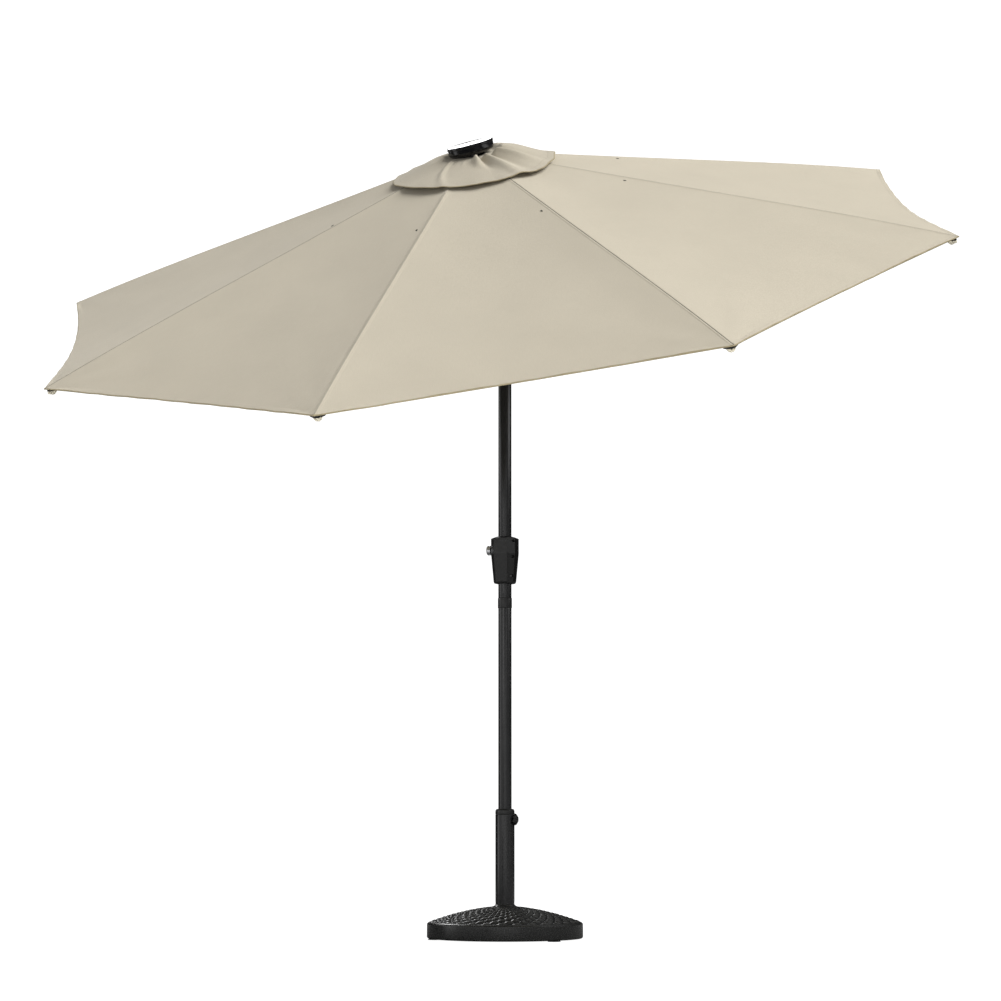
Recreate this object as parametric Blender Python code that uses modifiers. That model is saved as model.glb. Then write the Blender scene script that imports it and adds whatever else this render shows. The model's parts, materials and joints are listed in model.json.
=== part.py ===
"""A centre-pole patio umbrella, open and tilted, on a round cast base.

Metres, +Z up. The origin is on the floor, on the pole's axis. The mast leans towards -Y, the base's clamp knob points
along +X, and the crank is on the -X side. Everything above the tilt joint is built in the mast's own frame: its
origin is on the tilt joint's axis and its Z runs up the mast.
"""

import math

import bmesh
import bpy
from mathutils import Matrix, Vector

GAP = 0.0003  # left between pieces that touch on the real object

# Canopy, in the mast's frame
RIBS = 8
RIB_STEP = 2 * math.pi / RIBS
TIP_RADIUS = 1.35  # the nominal 2.7 m canopy, tip to tip
TIP_Z = 0.270
APEX_Z = 0.627  # where the lines along the ribs' tops would meet
FLAT_TOP_Z = 0.6128  # the cloth is clamped flat between the top hub and the light
BOW = 0.0474  # gives a rib about 5 mm of upward bow at three quarters of its length
HEM_IN = 0.034  # how far a panel's hem curves in from the line between two tips
HEM_DROP = 0.011  # and how far it hangs below that line
CLOTH = 0.0012
STATIONS = (0.030, 0.0397, 0.12, 0.30, 0.55, 0.80, 1.0)  # rows of a gore, as shares of the rib

SLOPE = math.atan((APEX_Z - TIP_Z) / TIP_RADIUS)

# Ribs, struts, top hub and runner
RIB_WIDTH, RIB_HEIGHT = 0.010, 0.016
RIB_BELOW_CLOTH = 0.0107  # from the cloth's outer face to the rib's centre line, square to the rib
STRUT_WIDTH, STRUT_HEIGHT = 0.009, 0.012
TONGUE_WIDTH, TONGUE_HEIGHT = 0.006, 0.009
WIRE_RING = 0.040  # the ring wire's radius: ribs and struts hinge on it
WIRE_RADIUS = 0.0012
EYE_RADIUS = 0.0019
HUB_WIRE_Z = APEX_Z - WIRE_RING * math.tan(SLOPE) - RIB_BELOW_CLOTH / math.cos(SLOPE)
RUNNER_WIRE_Z = 0.245
STRUT_JOINT_RADIUS = 0.62  # station of the strut's joint along a rib
STRUT_JOINT_BELOW = 0.026  # and its depth below the cloth
CROWN_RADIUS = 0.0535
SLOT_WIDTH = 0.0072
SLOT_INNER = 0.0330

# Pole and mast
POLE_RADIUS, POLE_BORE = 0.019, 0.0175
SPIGOT_RADIUS = POLE_BORE - GAP
TILT_Z = 1.656
TILT = math.radians(25.91)
BAND_LOW, BAND_HIGH, BAND_RADIUS = 0.939, 0.967, 0.0202
SOCKET_LOW = TILT_Z - 0.050
MAST_LOW, MAST_HIGH = 0.0453, 0.5747
PIN_RADIUS = 0.0030

# Crank
CRANK_Z = 1.106
HOUSING_LOW, HOUSING_WAIST, HOUSING_HIGH = 1.009, 1.0945, 1.1385
HOUSING_TAPER = 0.80  # size of its bottom end against its top
HOUSING_SPLIT = 0.0203
CRANK_THROW = 0.115
HUB_OUTER = 0.0535
GRIP_NEAR = HUB_OUTER + 0.0004

# Base
BASE_RADIUS = 0.221
FOOT_HEIGHT = 0.003
SLEEVE_RADIUS, SLEEVE_BORE = 0.02725, 0.0252
SLEEVE_LOW, SLEEVE_HIGH = 0.0303, 0.350
CLAMP_Z = 0.336
FOOT_RING = 0.203
FOOT_AZIMUTH = math.radians(92.5)

# Light
LIGHT_RADIUS = 0.0675
LIGHT_LOW, LIGHT_HIGH = 0.6145, 0.6450


def clear_scene():
    for obj in list(bpy.data.objects):
        bpy.data.objects.remove(obj, do_unlink=True)


def collection(name):
    made = bpy.data.collections.new(name)
    bpy.context.scene.collection.children.link(made)
    return made


def material(name, colour, roughness, metallic=0.0):
    made = bpy.data.materials.new(name)
    made.use_nodes = True
    shader = made.node_tree.nodes["Principled BSDF"]
    shader.inputs["Base Color"].default_value = (*colour, 1.0)
    shader.inputs["Roughness"].default_value = roughness
    shader.inputs["Metallic"].default_value = metallic
    made.diffuse_color = (*colour, 1.0)
    return made


clear_scene()
PARTS = collection("patio_umbrella")
CUTTERS = collection("cutters")

BLACK_METAL = material("black_metal", (0.035, 0.035, 0.037), 0.4, 0.3)
BLACK_PLASTIC = material("black_plastic", (0.03, 0.03, 0.032), 0.5)
CHROME = material("chrome", (0.8, 0.8, 0.82), 0.12, 1.0)
STEEL = material("steel", (0.55, 0.55, 0.57), 0.4, 0.9)
CAST_STONE = material("cast_stone", (0.045, 0.044, 0.043), 0.6)
RUBBER = material("rubber", (0.02, 0.02, 0.02), 0.85)
CANVAS = material("canvas", (0.58, 0.50, 0.38), 0.9)
SOLAR_CELL = material("solar_cell", (0.02, 0.025, 0.05), 0.1)


# Placing and shaping


def place(name, mesh, finish=None, parent=None, at=(0, 0, 0), turn=(0, 0, 0)):
    """A part, or, where no finish is given, a hidden shape that cuts or joins one."""
    obj = bpy.data.objects.new(name, mesh)
    if finish:
        mesh.materials.append(finish)
        PARTS.objects.link(obj)
    else:
        CUTTERS.objects.link(obj)
        obj.hide_render = True
        obj.display_type = "WIRE"
    obj.parent = parent
    obj.location = at
    obj.rotation_euler = turn
    return obj


def frame_at(name, at, turn=(0, 0, 0), parent=None):
    empty = bpy.data.objects.new(name, None)
    empty.empty_display_size = 0.05
    PARTS.objects.link(empty)
    empty.parent = parent
    empty.location = at
    empty.rotation_euler = turn
    return empty


def finished(name, bm):
    """The bmesh as a mesh with smooth round faces and sharp edges."""
    bmesh.ops.recalc_face_normals(bm, faces=bm.faces)
    mesh = bpy.data.meshes.new(name)
    bm.to_mesh(mesh)
    bm.free()
    mesh.shade_smooth()
    mesh.set_sharp_from_angle(angle=math.radians(35))
    return mesh


def box_mesh(name, low, high):
    bm = bmesh.new()
    bmesh.ops.create_cube(bm, size=1)
    low, high = Vector(low), Vector(high)
    bmesh.ops.scale(bm, verts=bm.verts, vec=high - low)
    bmesh.ops.translate(bm, verts=bm.verts, vec=(low + high) / 2)
    return finished(name, bm)


def rod_mesh(name, start, end, radius, sides=16):
    start, end = Vector(start), Vector(end)
    along = end - start
    bm = bmesh.new()
    bmesh.ops.create_cone(bm, cap_ends=True, segments=sides, radius1=radius, radius2=radius, depth=along.length)
    turn = Vector((0, 0, 1)).rotation_difference(along).to_matrix().to_4x4()
    bmesh.ops.transform(bm, matrix=Matrix.Translation((start + end) / 2) @ turn, verts=bm.verts)
    return finished(name, bm)


def turned(name, outline, finish=None, parent=None, at=(0, 0, 0), turn=(0, 0, 0), steps=28):
    """A Screw of (radius, height) points, which run down the outer side. An outline that ends on the axis closes
    there, and any other one is closed into a ring."""
    mesh = bpy.data.meshes.new(name)
    points = [(radius, 0, height) for radius, height in outline]
    edges = [(i, i + 1) for i in range(len(points) - 1)]
    on_axis = outline[0][0] == 0 and outline[-1][0] == 0
    if not on_axis:
        edges.append((len(points) - 1, 0))
    mesh.from_pydata(points, edges, [])
    obj = place(name, mesh, finish, parent, at, turn)
    screw = obj.modifiers.new("Turn", "SCREW")
    screw.axis = "Z"
    screw.angle = 2 * math.pi
    screw.steps = screw.render_steps = steps
    screw.use_smooth_shade = True
    screw.use_merge_vertices = True
    screw.merge_threshold = 0.00001
    return obj


def ring(name, outer, inner, low, high, finish=None, parent=None, steps=28):
    outline = [(outer, high), (outer, low), (inner, low), (inner, high)]
    return turned(name, outline, finish, parent, steps=steps)


def combine(obj, others, operation):
    for other in others:
        step = obj.modifiers.new(other.name, "BOOLEAN")
        step.operation = operation
        step.object = other
        step.solver = "EXACT"


def cut(obj, *cutters):
    combine(obj, cutters, "DIFFERENCE")


def join(obj, *pieces):
    combine(obj, pieces, "UNION")


def hidden_box(name, low, high, parent=None):
    return place(name, box_mesh(name, low, high), parent=parent)


def hidden_rod(name, start, end, radius, parent=None, sides=16):
    return place(name, rod_mesh(name, start, end, radius, sides), parent=parent)


def soften(obj, width, segments=2):
    bevel = obj.modifiers.new("Edges", "BEVEL")
    bevel.width = width
    bevel.segments = segments
    bevel.limit_method = "ANGLE"
    bevel.angle_limit = math.radians(40)


# Base


def dome_outline():
    """The base's upper side, from the sleeve's fairing down to the rim."""
    return [
        (SLEEVE_RADIUS + GAP, 0.0965),
        (0.0295, 0.0940),
        (0.0335, 0.0920),
        (0.042, 0.0903),
        (0.052, 0.0891),
        (0.0706, 0.0864),
        (0.1026, 0.0808),
        (0.149, 0.0695),
        (0.185, 0.0583),
        (0.209, 0.0500),
        (0.218, 0.0465),
        (BASE_RADIUS, 0.0430),
    ]


def build_base():
    bolt_hole, recess, recess_top = 0.0056, 0.0225, 0.018
    outline = dome_outline() + [
        (BASE_RADIUS, 0.006),
        (BASE_RADIUS - 0.003, FOOT_HEIGHT),
        (recess, FOOT_HEIGHT),
        (recess, recess_top),
        (bolt_hole, recess_top),
        (bolt_hole, SLEEVE_LOW - GAP),
        (SLEEVE_RADIUS + GAP, SLEEVE_LOW - GAP),
    ]
    base = turned("base_body", outline, CAST_STONE, steps=40)
    for number in range(3):
        azimuth = FOOT_AZIMUTH + number * 2 * math.pi / 3
        x, y = FOOT_RING * math.cos(azimuth), FOOT_RING * math.sin(azimuth)
        hole = f"foot_hole_{number + 1}"
        cut(base, hidden_rod(hole, (x, y, 0.001), (x, y, 0.0123), 0.0045, sides=16))
        foot = [(0, 0.012), (0.0041, 0.012), (0.0041, 0.0027), (0.0165, 0.0027), (0.018, 0.0015), (0.018, 0), (0, 0)]
        turned(f"foot_{number + 1}", foot, RUBBER, at=(x, y, 0), steps=16)

    sleeve_floor = 0.0360
    sleeve_outline = [
        (SLEEVE_RADIUS, SLEEVE_HIGH),
        (SLEEVE_RADIUS, SLEEVE_LOW),
        (bolt_hole, SLEEVE_LOW),
        (bolt_hole, sleeve_floor),
        (SLEEVE_BORE, sleeve_floor),
        (SLEEVE_BORE, SLEEVE_HIGH),
    ]
    sleeve = turned("base_sleeve", sleeve_outline, BLACK_METAL)
    join(sleeve, hidden_rod("clamp_boss", (0.0262, 0, CLAMP_Z), (0.0281, 0, CLAMP_Z), 0.0085))
    stud_hole = hidden_rod("stud_hole", (0.017, 0, CLAMP_Z), (0.031, 0, CLAMP_Z), 0.0044)
    cut(sleeve, stud_hole)

    collar_outline = [
        (0.0215, 0.3660),
        (0.0252, 0.3645),
        (0.0270, 0.3615),
        (SLEEVE_RADIUS, 0.3575),
        (SLEEVE_RADIUS, SLEEVE_HIGH + GAP),
        (SLEEVE_BORE - GAP, SLEEVE_HIGH + GAP),
        (SLEEVE_BORE - GAP, 0.290),
        (POLE_RADIUS + 0.0005, 0.290),
        (POLE_RADIUS + 0.0005, 0.3660),
    ]
    collar = turned("sleeve_collar", collar_outline, BLACK_PLASTIC)
    cut(collar, stud_hole)

    bolt_outline = [
        (0, 0.0330),
        (0.0050, 0.0330),
        (0.0050, recess_top - GAP),
        (0.0120, recess_top - GAP),
        (0.0120, 0.0160),
        (0, 0.0160),
    ]
    bolt = turned("base_bolt", bolt_outline, STEEL, steps=16)
    join(bolt, place("bolt_head", rod_mesh("bolt_head", (0, 0, 0.0098), (0, 0, 0.0165), 0.0098, 6)))
    cover_outline = [(0, 0.0092), (0.0150, 0.0092), (0.0215, 0.0070), (0.0215, 0.0008), (0.0205, 0), (0, 0)]
    turned("bolt_cover", cover_outline, RUBBER, steps=20)

    build_clamp_knob()


def build_clamp_knob():
    """A six-lobed knob on a stud, modelled about its own axis, +X."""
    near, far, lobes = 0.0286, 0.0396, 6
    axis_at = (0, 0, CLAMP_Z)
    bm = bmesh.new()
    bmesh.ops.create_cone(bm, cap_ends=True, segments=30, radius1=1, radius2=1, depth=far - near)
    for vert in bm.verts:
        angle = math.atan2(vert.co.y, vert.co.x)
        radius = 0.0152 + 0.0018 * math.cos(lobes * angle)
        vert.co.x, vert.co.y = radius * math.cos(angle), radius * math.sin(angle)
    bmesh.ops.rotate(bm, verts=bm.verts, matrix=Matrix.Rotation(math.pi / 2, 3, "Y"))
    bmesh.ops.translate(bm, verts=bm.verts, vec=((near + far) / 2, 0, 0))
    knob = place("clamp_knob", finished("clamp_knob", bm), BLACK_PLASTIC, at=axis_at)
    soften(knob, 0.0016)
    stud_end = 0.0365
    bore = hidden_rod("knob_bore", (0.02, 0, 0), (stud_end + GAP, 0, 0), 0.0043)
    bore.location = axis_at
    cut(knob, bore)
    stud = rod_mesh("clamp_stud", (POLE_RADIUS + GAP, 0, 0), (stud_end, 0, 0), 0.0039, 16)
    place("clamp_stud", stud, STEEL, at=axis_at)


# Pole


def build_pole():
    ring("lower_pole", POLE_RADIUS, POLE_BORE, 0.0365, BAND_LOW - GAP, BLACK_METAL)
    spigot = SPIGOT_RADIUS
    coupler_outline = [
        (spigot, 0.999),
        (spigot, BAND_HIGH),
        (BAND_RADIUS, BAND_HIGH),
        (BAND_RADIUS, BAND_LOW),
        (spigot, BAND_LOW),
        (spigot, 0.899),
        (0.0152, 0.899),
        (0.0152, 0.999),
    ]
    turned("pole_coupler", coupler_outline, BLACK_PLASTIC)
    upper = ring("upper_pole", POLE_RADIUS, POLE_BORE, BAND_HIGH + GAP, SOCKET_LOW, BLACK_METAL)
    cut(upper, hidden_rod("drum_hole", (-0.03, 0, CRANK_Z), (0.03, 0, CRANK_Z), 0.0126, sides=24))


def housing_scale(height):
    """The size of the crank housing's section at this height, as a share of its size above the waist."""
    if height >= HOUSING_WAIST:
        return 1.0
    return HOUSING_TAPER + (1 - HOUSING_TAPER) * (height - HOUSING_LOW) / (HOUSING_WAIST - HOUSING_LOW)


def housing_loft(name, inset):
    """The housing's outer form, or, with an inset, the hollow inside it."""
    half_x, half_y, corner_x, corner_y = 0.0365, 0.038, 0.0205, 0.0166
    corners = [
        (half_x, corner_y),
        (corner_x, half_y),
        (-corner_x, half_y),
        (-half_x, corner_y),
        (-half_x, -corner_y),
        (-corner_x, -half_y),
        (corner_x, -half_y),
        (half_x, -corner_y),
    ]
    ends = [(HOUSING_LOW + inset, 1 if inset else 0.93), (HOUSING_HIGH - inset, 1)]
    levels = [ends[0]]
    if not inset:
        levels.append((HOUSING_LOW + 0.004, 1))
    levels += [(HOUSING_WAIST, 1), ends[1]]
    if not inset:
        levels.append((HOUSING_HIGH + 0.0045, 0.72))
    bm = bmesh.new()
    rings = []
    for height, trim in levels:
        scale = housing_scale(height) * trim
        shrink = 1 - inset / half_x
        rings.append([bm.verts.new((x * scale * shrink, y * scale * shrink, height)) for x, y in corners])
    for lower, upper in zip(rings, rings[1:]):
        for i in range(len(corners)):
            j = (i + 1) % len(corners)
            bm.faces.new((lower[i], lower[j], upper[j], upper[i]))
    bm.faces.new(rings[0])
    bm.faces.new(rings[-1])
    return finished(name, bm)


def screw_places():
    """(y, z, section scale) of each housing screw."""
    return [(-0.0205, 1.1300, 1.0), (-0.0205, 1.0850, 1.0), (-0.0178, 1.0300, 0.85)]


def build_housing():
    wall = 0.0026
    hollow = place("housing_hollow", housing_loft("housing_hollow", wall))
    pole_hole = hidden_rod("housing_pole_hole", (0, 0, 1.0), (0, 0, 1.15), POLE_RADIUS + GAP, sides=32)
    body_side = hidden_box("body_side", (HOUSING_SPLIT - GAP, -0.05, 1.0), (0.05, 0.05, 1.15))
    cover_side = hidden_box("cover_side", (-0.05, -0.05, 1.0), (HOUSING_SPLIT, 0.05, 1.15))

    body = place("housing_body", housing_loft("housing_body", 0), BLACK_PLASTIC)
    cover = place("housing_cover", housing_loft("housing_cover", 0), BLACK_PLASTIC)
    cut(body, hollow)
    cut(cover, hollow)
    for number, (y, z, scale) in enumerate(screw_places(), start=1):
        pad_low = (0.0125, -0.037 * scale, z - 0.004)
        pad_high = (HOUSING_SPLIT, y + 0.003, z + 0.004)
        join(body, hidden_box(f"screw_pad_{number}", pad_low, pad_high))
        head_x = 0.0262 * (1 if scale == 1 else 0.92)
        tube = hidden_rod(f"screw_tube_{number}", (HOUSING_SPLIT, y, z), (0.0305 * scale, y, z), 0.0055, sides=10)
        join(cover, tube)
        shank_hole = hidden_rod(f"shank_hole_{number}", (0.0118, y, z), (0.032, y, z), 0.0019, sides=8)
        counterbore = hidden_rod(f"counterbore_{number}", (head_x, y, z), (0.042, y, z), 0.0042, sides=12)
        cut(body, shank_hole)
        cut(cover, shank_hole, counterbore)
        screw_outline = [
            (0, head_x + 0.0026),
            (0.0030, head_x + 0.0026),
            (0.0037, head_x + 0.0016),
            (0.0037, head_x + GAP),
            (0.0016, head_x + GAP),
            (0.0016, 0.0135),
            (0, 0.0128),
        ]
        along_x = (0, math.pi / 2, 0)
        turned(f"housing_screw_{number}", screw_outline, STEEL, at=(0, y, z), turn=along_x, steps=10)
    bearing = hidden_rod("cover_bearing", (HOUSING_SPLIT + 0.001, 0, CRANK_Z), (0.0350, 0, CRANK_Z), 0.0085)
    join(cover, bearing)
    cut(cover, hidden_rod("bearing_bore", (0.015, 0, CRANK_Z), (0.0275, 0, CRANK_Z), 0.0049))
    cut(body, body_side, pole_hole)
    cut(body, hidden_rod("shaft_hole", (-0.045, 0, CRANK_Z), (-0.025, 0, CRANK_Z), 0.0052))
    cut(cover, cover_side, pole_hole)


def build_crank():
    """The drum and the crank, modelled about their own axis, +X."""
    axis_at = (0, 0, CRANK_Z)
    drum_outline = [
        (0, 0.0268),
        (0.0045, 0.0268),
        (0.0045, 0.0090),
        (0.0118, 0.0090),
        (0.0118, 0.0075),
        (0.0070, 0.0075),
        (0.0070, -0.0075),
        (0.0118, -0.0075),
        (0.0118, -0.0090),
        (0.0045, -0.0090),
        (0.0045, -HUB_OUTER + 0.0024),
        (0, -HUB_OUTER + 0.0024),
    ]
    turned("winding_drum", drum_outline, STEEL, at=axis_at, turn=(0, math.pi / 2, 0), steps=24)

    hub_outline = [
        (0, -HUB_OUTER + 0.0021),
        (0.0048, -HUB_OUTER + 0.0021),
        (0.0048, -0.0400),
        (0.0125, -0.0400),
        (0.0140, -0.0412),
        (0.0140, -HUB_OUTER + 0.0022),
        (0.0120, -HUB_OUTER + 0.0004),
        (0.0090, -HUB_OUTER),
        (0, -HUB_OUTER),
    ]
    hub_outline.reverse()
    flip = (0, -math.pi / 2, 0)
    mirrored = [(radius, -height) for radius, height in hub_outline]
    crank = turned("crank_arm", mirrored, CHROME, at=axis_at, turn=flip, steps=28)
    arm_near, arm_far = -HUB_OUTER + 0.0044, -HUB_OUTER + 0.0003
    bm = bmesh.new()
    bmesh.ops.create_cube(bm, size=1)
    for vert in bm.verts:
        outward = vert.co.y > 0
        vert.co.x = arm_near if vert.co.x > 0 else arm_far
        vert.co.z *= 0.013 if outward else 0.018
        vert.co.y = CRANK_THROW if outward else 0.008
    bar = place("crank_bar", finished("crank_bar", bm), at=axis_at)
    eye = hidden_rod("crank_eye", (arm_near, CRANK_THROW, 0), (arm_far, CRANK_THROW, 0), 0.0078)
    grip_pin = hidden_rod("grip_pin", (arm_near - 0.001, CRANK_THROW, 0), (-GRIP_NEAR - 0.0232, CRANK_THROW, 0), 0.0030, sides=16)
    for piece in (eye, grip_pin):
        piece.location = axis_at
    join(crank, bar, eye, grip_pin)

    grip_outline = [
        (0, GRIP_NEAR + 0.0272),
        (0.0065, GRIP_NEAR + 0.0265),
        (0.0100, GRIP_NEAR + 0.0242),
        (0.0122, GRIP_NEAR + 0.0197),
        (0.0115, GRIP_NEAR + 0.0107),
        (0.0095, GRIP_NEAR + 0.0027),
        (0.0090, GRIP_NEAR),
        (0.0034, GRIP_NEAR),
        (0.0034, GRIP_NEAR + 0.0242),
        (0, GRIP_NEAR + 0.0242),
    ]
    turned("crank_grip", grip_outline, BLACK_PLASTIC, at=(0, CRANK_THROW, CRANK_Z), turn=flip, steps=24)


# Tilt joint


def build_tilt_joint(mast):
    shoulder_low, shoulder_high = SOCKET_LOW + GAP, TILT_Z - 0.022
    socket_outline = [
        (0, shoulder_high),
        (POLE_RADIUS, shoulder_high),
        (POLE_RADIUS, shoulder_low),
        (SPIGOT_RADIUS, shoulder_low),
        (SPIGOT_RADIUS, SOCKET_LOW - 0.035),
        (0, SOCKET_LOW - 0.035),
    ]
    socket = turned("tilt_socket", socket_outline, BLACK_PLASTIC)
    ear_inner, ear_outer, ear_radius = 0.0080, 0.0135, 0.013
    for side in (-1, 1):
        low_x, high_x = sorted((side * ear_inner, side * ear_outer))
        label = "left" if side < 0 else "right"
        plate_low = (low_x, -ear_radius, shoulder_high - 0.004)
        join(socket, hidden_box(f"ear_{label}", plate_low, (high_x, ear_radius, TILT_Z)))
        join(socket, hidden_rod(f"ear_top_{label}", (low_x, 0, TILT_Z), (high_x, 0, TILT_Z), ear_radius, sides=24))
    pin_ends = (-0.0165, 0, TILT_Z), (0.0165, 0, TILT_Z)
    cut(socket, hidden_rod("socket_pin_hole", (-0.02, 0, TILT_Z), (0.02, 0, TILT_Z), PIN_RADIUS + GAP))
    place("tilt_pin", rod_mesh("tilt_pin", *pin_ends, PIN_RADIUS, 16), STEEL)

    tongue_half, tongue_radius = 0.0077, 0.011
    knuckle_outline = [
        (0, 0.085),
        (SPIGOT_RADIUS, 0.085),
        (SPIGOT_RADIUS, MAST_LOW - GAP),
        (POLE_RADIUS, MAST_LOW - GAP),
        (POLE_RADIUS, 0.024),
        (0, 0.024),
    ]
    knuckle = turned("tilt_knuckle", knuckle_outline, BLACK_PLASTIC, mast)
    tongue = hidden_box("tongue", (-tongue_half, -tongue_radius, 0), (tongue_half, tongue_radius, 0.028), mast)
    tongue_end = hidden_rod("tongue_end", (-tongue_half, 0, 0), (tongue_half, 0, 0), tongue_radius, mast, 24)
    join(knuckle, tongue, tongue_end)
    cut(knuckle, hidden_rod("knuckle_pin_hole", (-0.02, 0, 0), (0.02, 0, 0), PIN_RADIUS + GAP, mast))
    build_tilt_button(socket)


def build_tilt_button(socket):
    """A sprung push button on the +Y side of the socket, modelled about its own axis."""
    axis_at = (0, 0, TILT_Z - 0.035)
    along_y = (-math.pi / 2, 0, 0)
    bore_bottom = 0.0022
    bore = hidden_rod("button_bore", (0, bore_bottom, 0), (0, 0.03, 0), 0.0060, sides=24)
    bore.location = axis_at
    cut(socket, bore)
    button_outline = [
        (0, 0.0228),
        (0.0040, 0.0224),
        (0.0057, 0.0210),
        (0.0057, 0.0075),
        (0.0044, 0.0075),
        (0.0044, 0.0203),
        (0, 0.0203),
    ]
    turned("tilt_button", button_outline, BLACK_PLASTIC, at=axis_at, turn=along_y, steps=24)
    wire, coil, turns, per_turn = 0.00045, 0.0034, 5, 8
    low, high = bore_bottom + GAP + wire, 0.0203 - GAP - wire
    curve = bpy.data.curves.new("button_spring", "CURVE")
    curve.dimensions = "3D"
    curve.bevel_depth = wire
    curve.bevel_resolution = 1
    curve.use_fill_caps = True
    spline = curve.splines.new("POLY")
    count = turns * per_turn + 1
    spline.points.add(count - 1)
    for i, point in enumerate(spline.points):
        angle = 2 * math.pi * i / per_turn
        height = low + (high - low) * i / (count - 1)
        point.co = (coil * math.cos(angle), coil * math.sin(angle), height, 1)
    place("button_spring", curve, STEEL, at=axis_at, turn=along_y)


# Mast


def radial_slots(obj, name, low, high, mast):
    for number in range(RIBS):
        slot = hidden_box(
            f"{name}_slot_{number + 1}", (SLOT_INNER, -SLOT_WIDTH / 2, low), (0.08, SLOT_WIDTH / 2, high), mast
        )
        slot.rotation_euler.z = number * RIB_STEP
        cut(obj, slot)


def wire_ring(name, height, minor, mast, finish=None):
    sides = 6
    outline = [
        (WIRE_RING + minor * math.cos(a), minor * math.sin(a))
        for a in (-2 * math.pi * i / sides for i in range(sides))
    ]
    return turned(name, outline, finish, mast, at=(0, 0, height), steps=24)


def build_mast(mast):
    ring("mast_tube", POLE_RADIUS, POLE_BORE, MAST_LOW, MAST_HIGH, BLACK_METAL, mast)

    crown_top, crown_edge, crown_low, stud_bore, stud_floor = 0.6110, 0.6085, 0.5955, 0.0044, 0.583
    spigot_low = 0.5440
    hub_outline = [
        (0, stud_floor),
        (stud_bore, stud_floor),
        (stud_bore, crown_top),
        (0.0455, crown_top),
        (CROWN_RADIUS, crown_edge),
        (CROWN_RADIUS, crown_low),
        (0.030, crown_low),
        (0.0215, 0.5860),
        (0.0215, MAST_HIGH + GAP),
        (SPIGOT_RADIUS, MAST_HIGH + GAP),
        (SPIGOT_RADIUS, spigot_low),
        (0, spigot_low),
    ]
    hub = turned("top_hub", hub_outline, BLACK_PLASTIC, mast, steps=24)
    radial_slots(hub, "hub", 0.58, 0.62, mast)
    cut(hub, wire_ring("hub_wire_groove", HUB_WIRE_Z, WIRE_RADIUS + 0.0005, mast))
    wire_ring("hub_wire", HUB_WIRE_Z, WIRE_RADIUS, mast, STEEL)

    pulley_z = 0.5575
    cut(hub, hidden_box("pulley_slot", (-0.0032, -0.03, 0.53), (0.0032, 0.03, 0.5705), mast))
    cut(hub, hidden_rod("pulley_pin_hole", (-0.0125, 0, pulley_z), (0.0125, 0, pulley_z), 0.0023, mast, 16))
    pulley_outline = [
        (0, 0.0120),
        (0.0020, 0.0120),
        (0.0020, 0.0028),
        (0.0098, 0.0028),
        (0.0098, 0.0020),
        (0.0080, 0.0006),
        (0.0080, -0.0006),
        (0.0098, -0.0020),
        (0.0098, -0.0028),
        (0.0020, -0.0028),
        (0.0020, -0.0120),
        (0, -0.0120),
    ]
    turned("cord_pulley", pulley_outline, STEEL, mast, (0, 0, pulley_z), (0, math.pi / 2, 0), 24)

    runner_low = RUNNER_WIRE_Z - 0.050
    flange_low, flange_high = RUNNER_WIRE_Z - 0.008, RUNNER_WIRE_Z + 0.006
    runner_bore, runner_radius = POLE_RADIUS + 0.0005, 0.0240
    runner_outline = [
        (0.0290, flange_high + 0.004),
        (0.0330, flange_high),
        (CROWN_RADIUS - 0.002, flange_high),
        (CROWN_RADIUS - 0.002, flange_low),
        (0.0300, flange_low),
        (runner_radius, flange_low - 0.008),
        (runner_radius, runner_low + 0.002),
        (runner_radius - 0.002, runner_low),
        (runner_bore, runner_low),
        (runner_bore, flange_high + 0.004),
    ]
    runner = turned("runner", runner_outline, BLACK_PLASTIC, mast, steps=24)
    radial_slots(runner, "runner", flange_low - 0.012, flange_high + 0.01, mast)
    cut(runner, wire_ring("runner_wire_groove", RUNNER_WIRE_Z, WIRE_RADIUS + 0.0005, mast))
    wire_ring("runner_wire", RUNNER_WIRE_Z, WIRE_RADIUS, mast, STEEL)


def build_light(mast):
    wall = 0.0025
    bowl = [
        (LIGHT_RADIUS, LIGHT_HIGH),
        (LIGHT_RADIUS, LIGHT_HIGH - 0.008),
        (0.0665, 0.6305),
        (0.0630, 0.6235),
        (0.0570, 0.6180),
        (0.0480, LIGHT_LOW),
        (0, LIGHT_LOW),
    ]
    inside = [
        (0, LIGHT_LOW + wall),
        (0.0470, LIGHT_LOW + wall),
        (0.0580, 0.6230),
        (0.0590, LIGHT_HIGH - 0.0030),
        (0.0635, LIGHT_HIGH - 0.0030),
        (0.0635, LIGHT_HIGH),
    ]
    turned("solar_housing", inside + bowl, BLACK_PLASTIC, mast, steps=28)
    panel = [
        (0, LIGHT_HIGH - 0.0004),
        (0.0632, LIGHT_HIGH - 0.0004),
        (0.0632, LIGHT_HIGH - 0.0030 + GAP),
        (0, LIGHT_HIGH - 0.0030 + GAP),
    ]
    turned("solar_panel", panel, SOLAR_CELL, mast, steps=28)
    stud = [
        (0, LIGHT_LOW - GAP),
        (0.0130, LIGHT_LOW - GAP),
        (0.0130, 0.6111),
        (0.0040, 0.6111),
        (0.0040, 0.5840),
        (0, 0.5840),
    ]
    turned("finial_stud", stud, STEEL, mast, steps=20)


def build_vent_cap(mast):
    """The small upper canopy: gathered under the light, puffed out round it, and resting on the main canopy."""
    top = [
        (0.040, 0.6141),
        (0.0555, 0.6141),
        (0.066, 0.6175),
        (0.075, 0.6265),
        (0.087, 0.6312),
        (0.105, 0.6290),
        (0.140, 0.6140),
        (0.240, 0.5685),
    ]
    thickness = 0.0010
    under = [(radius, height - thickness) for radius, height in reversed(top)]
    turned("vent_cap", top + under, CANVAS, mast, steps=28)


# Ribs, struts and canopy


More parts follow.
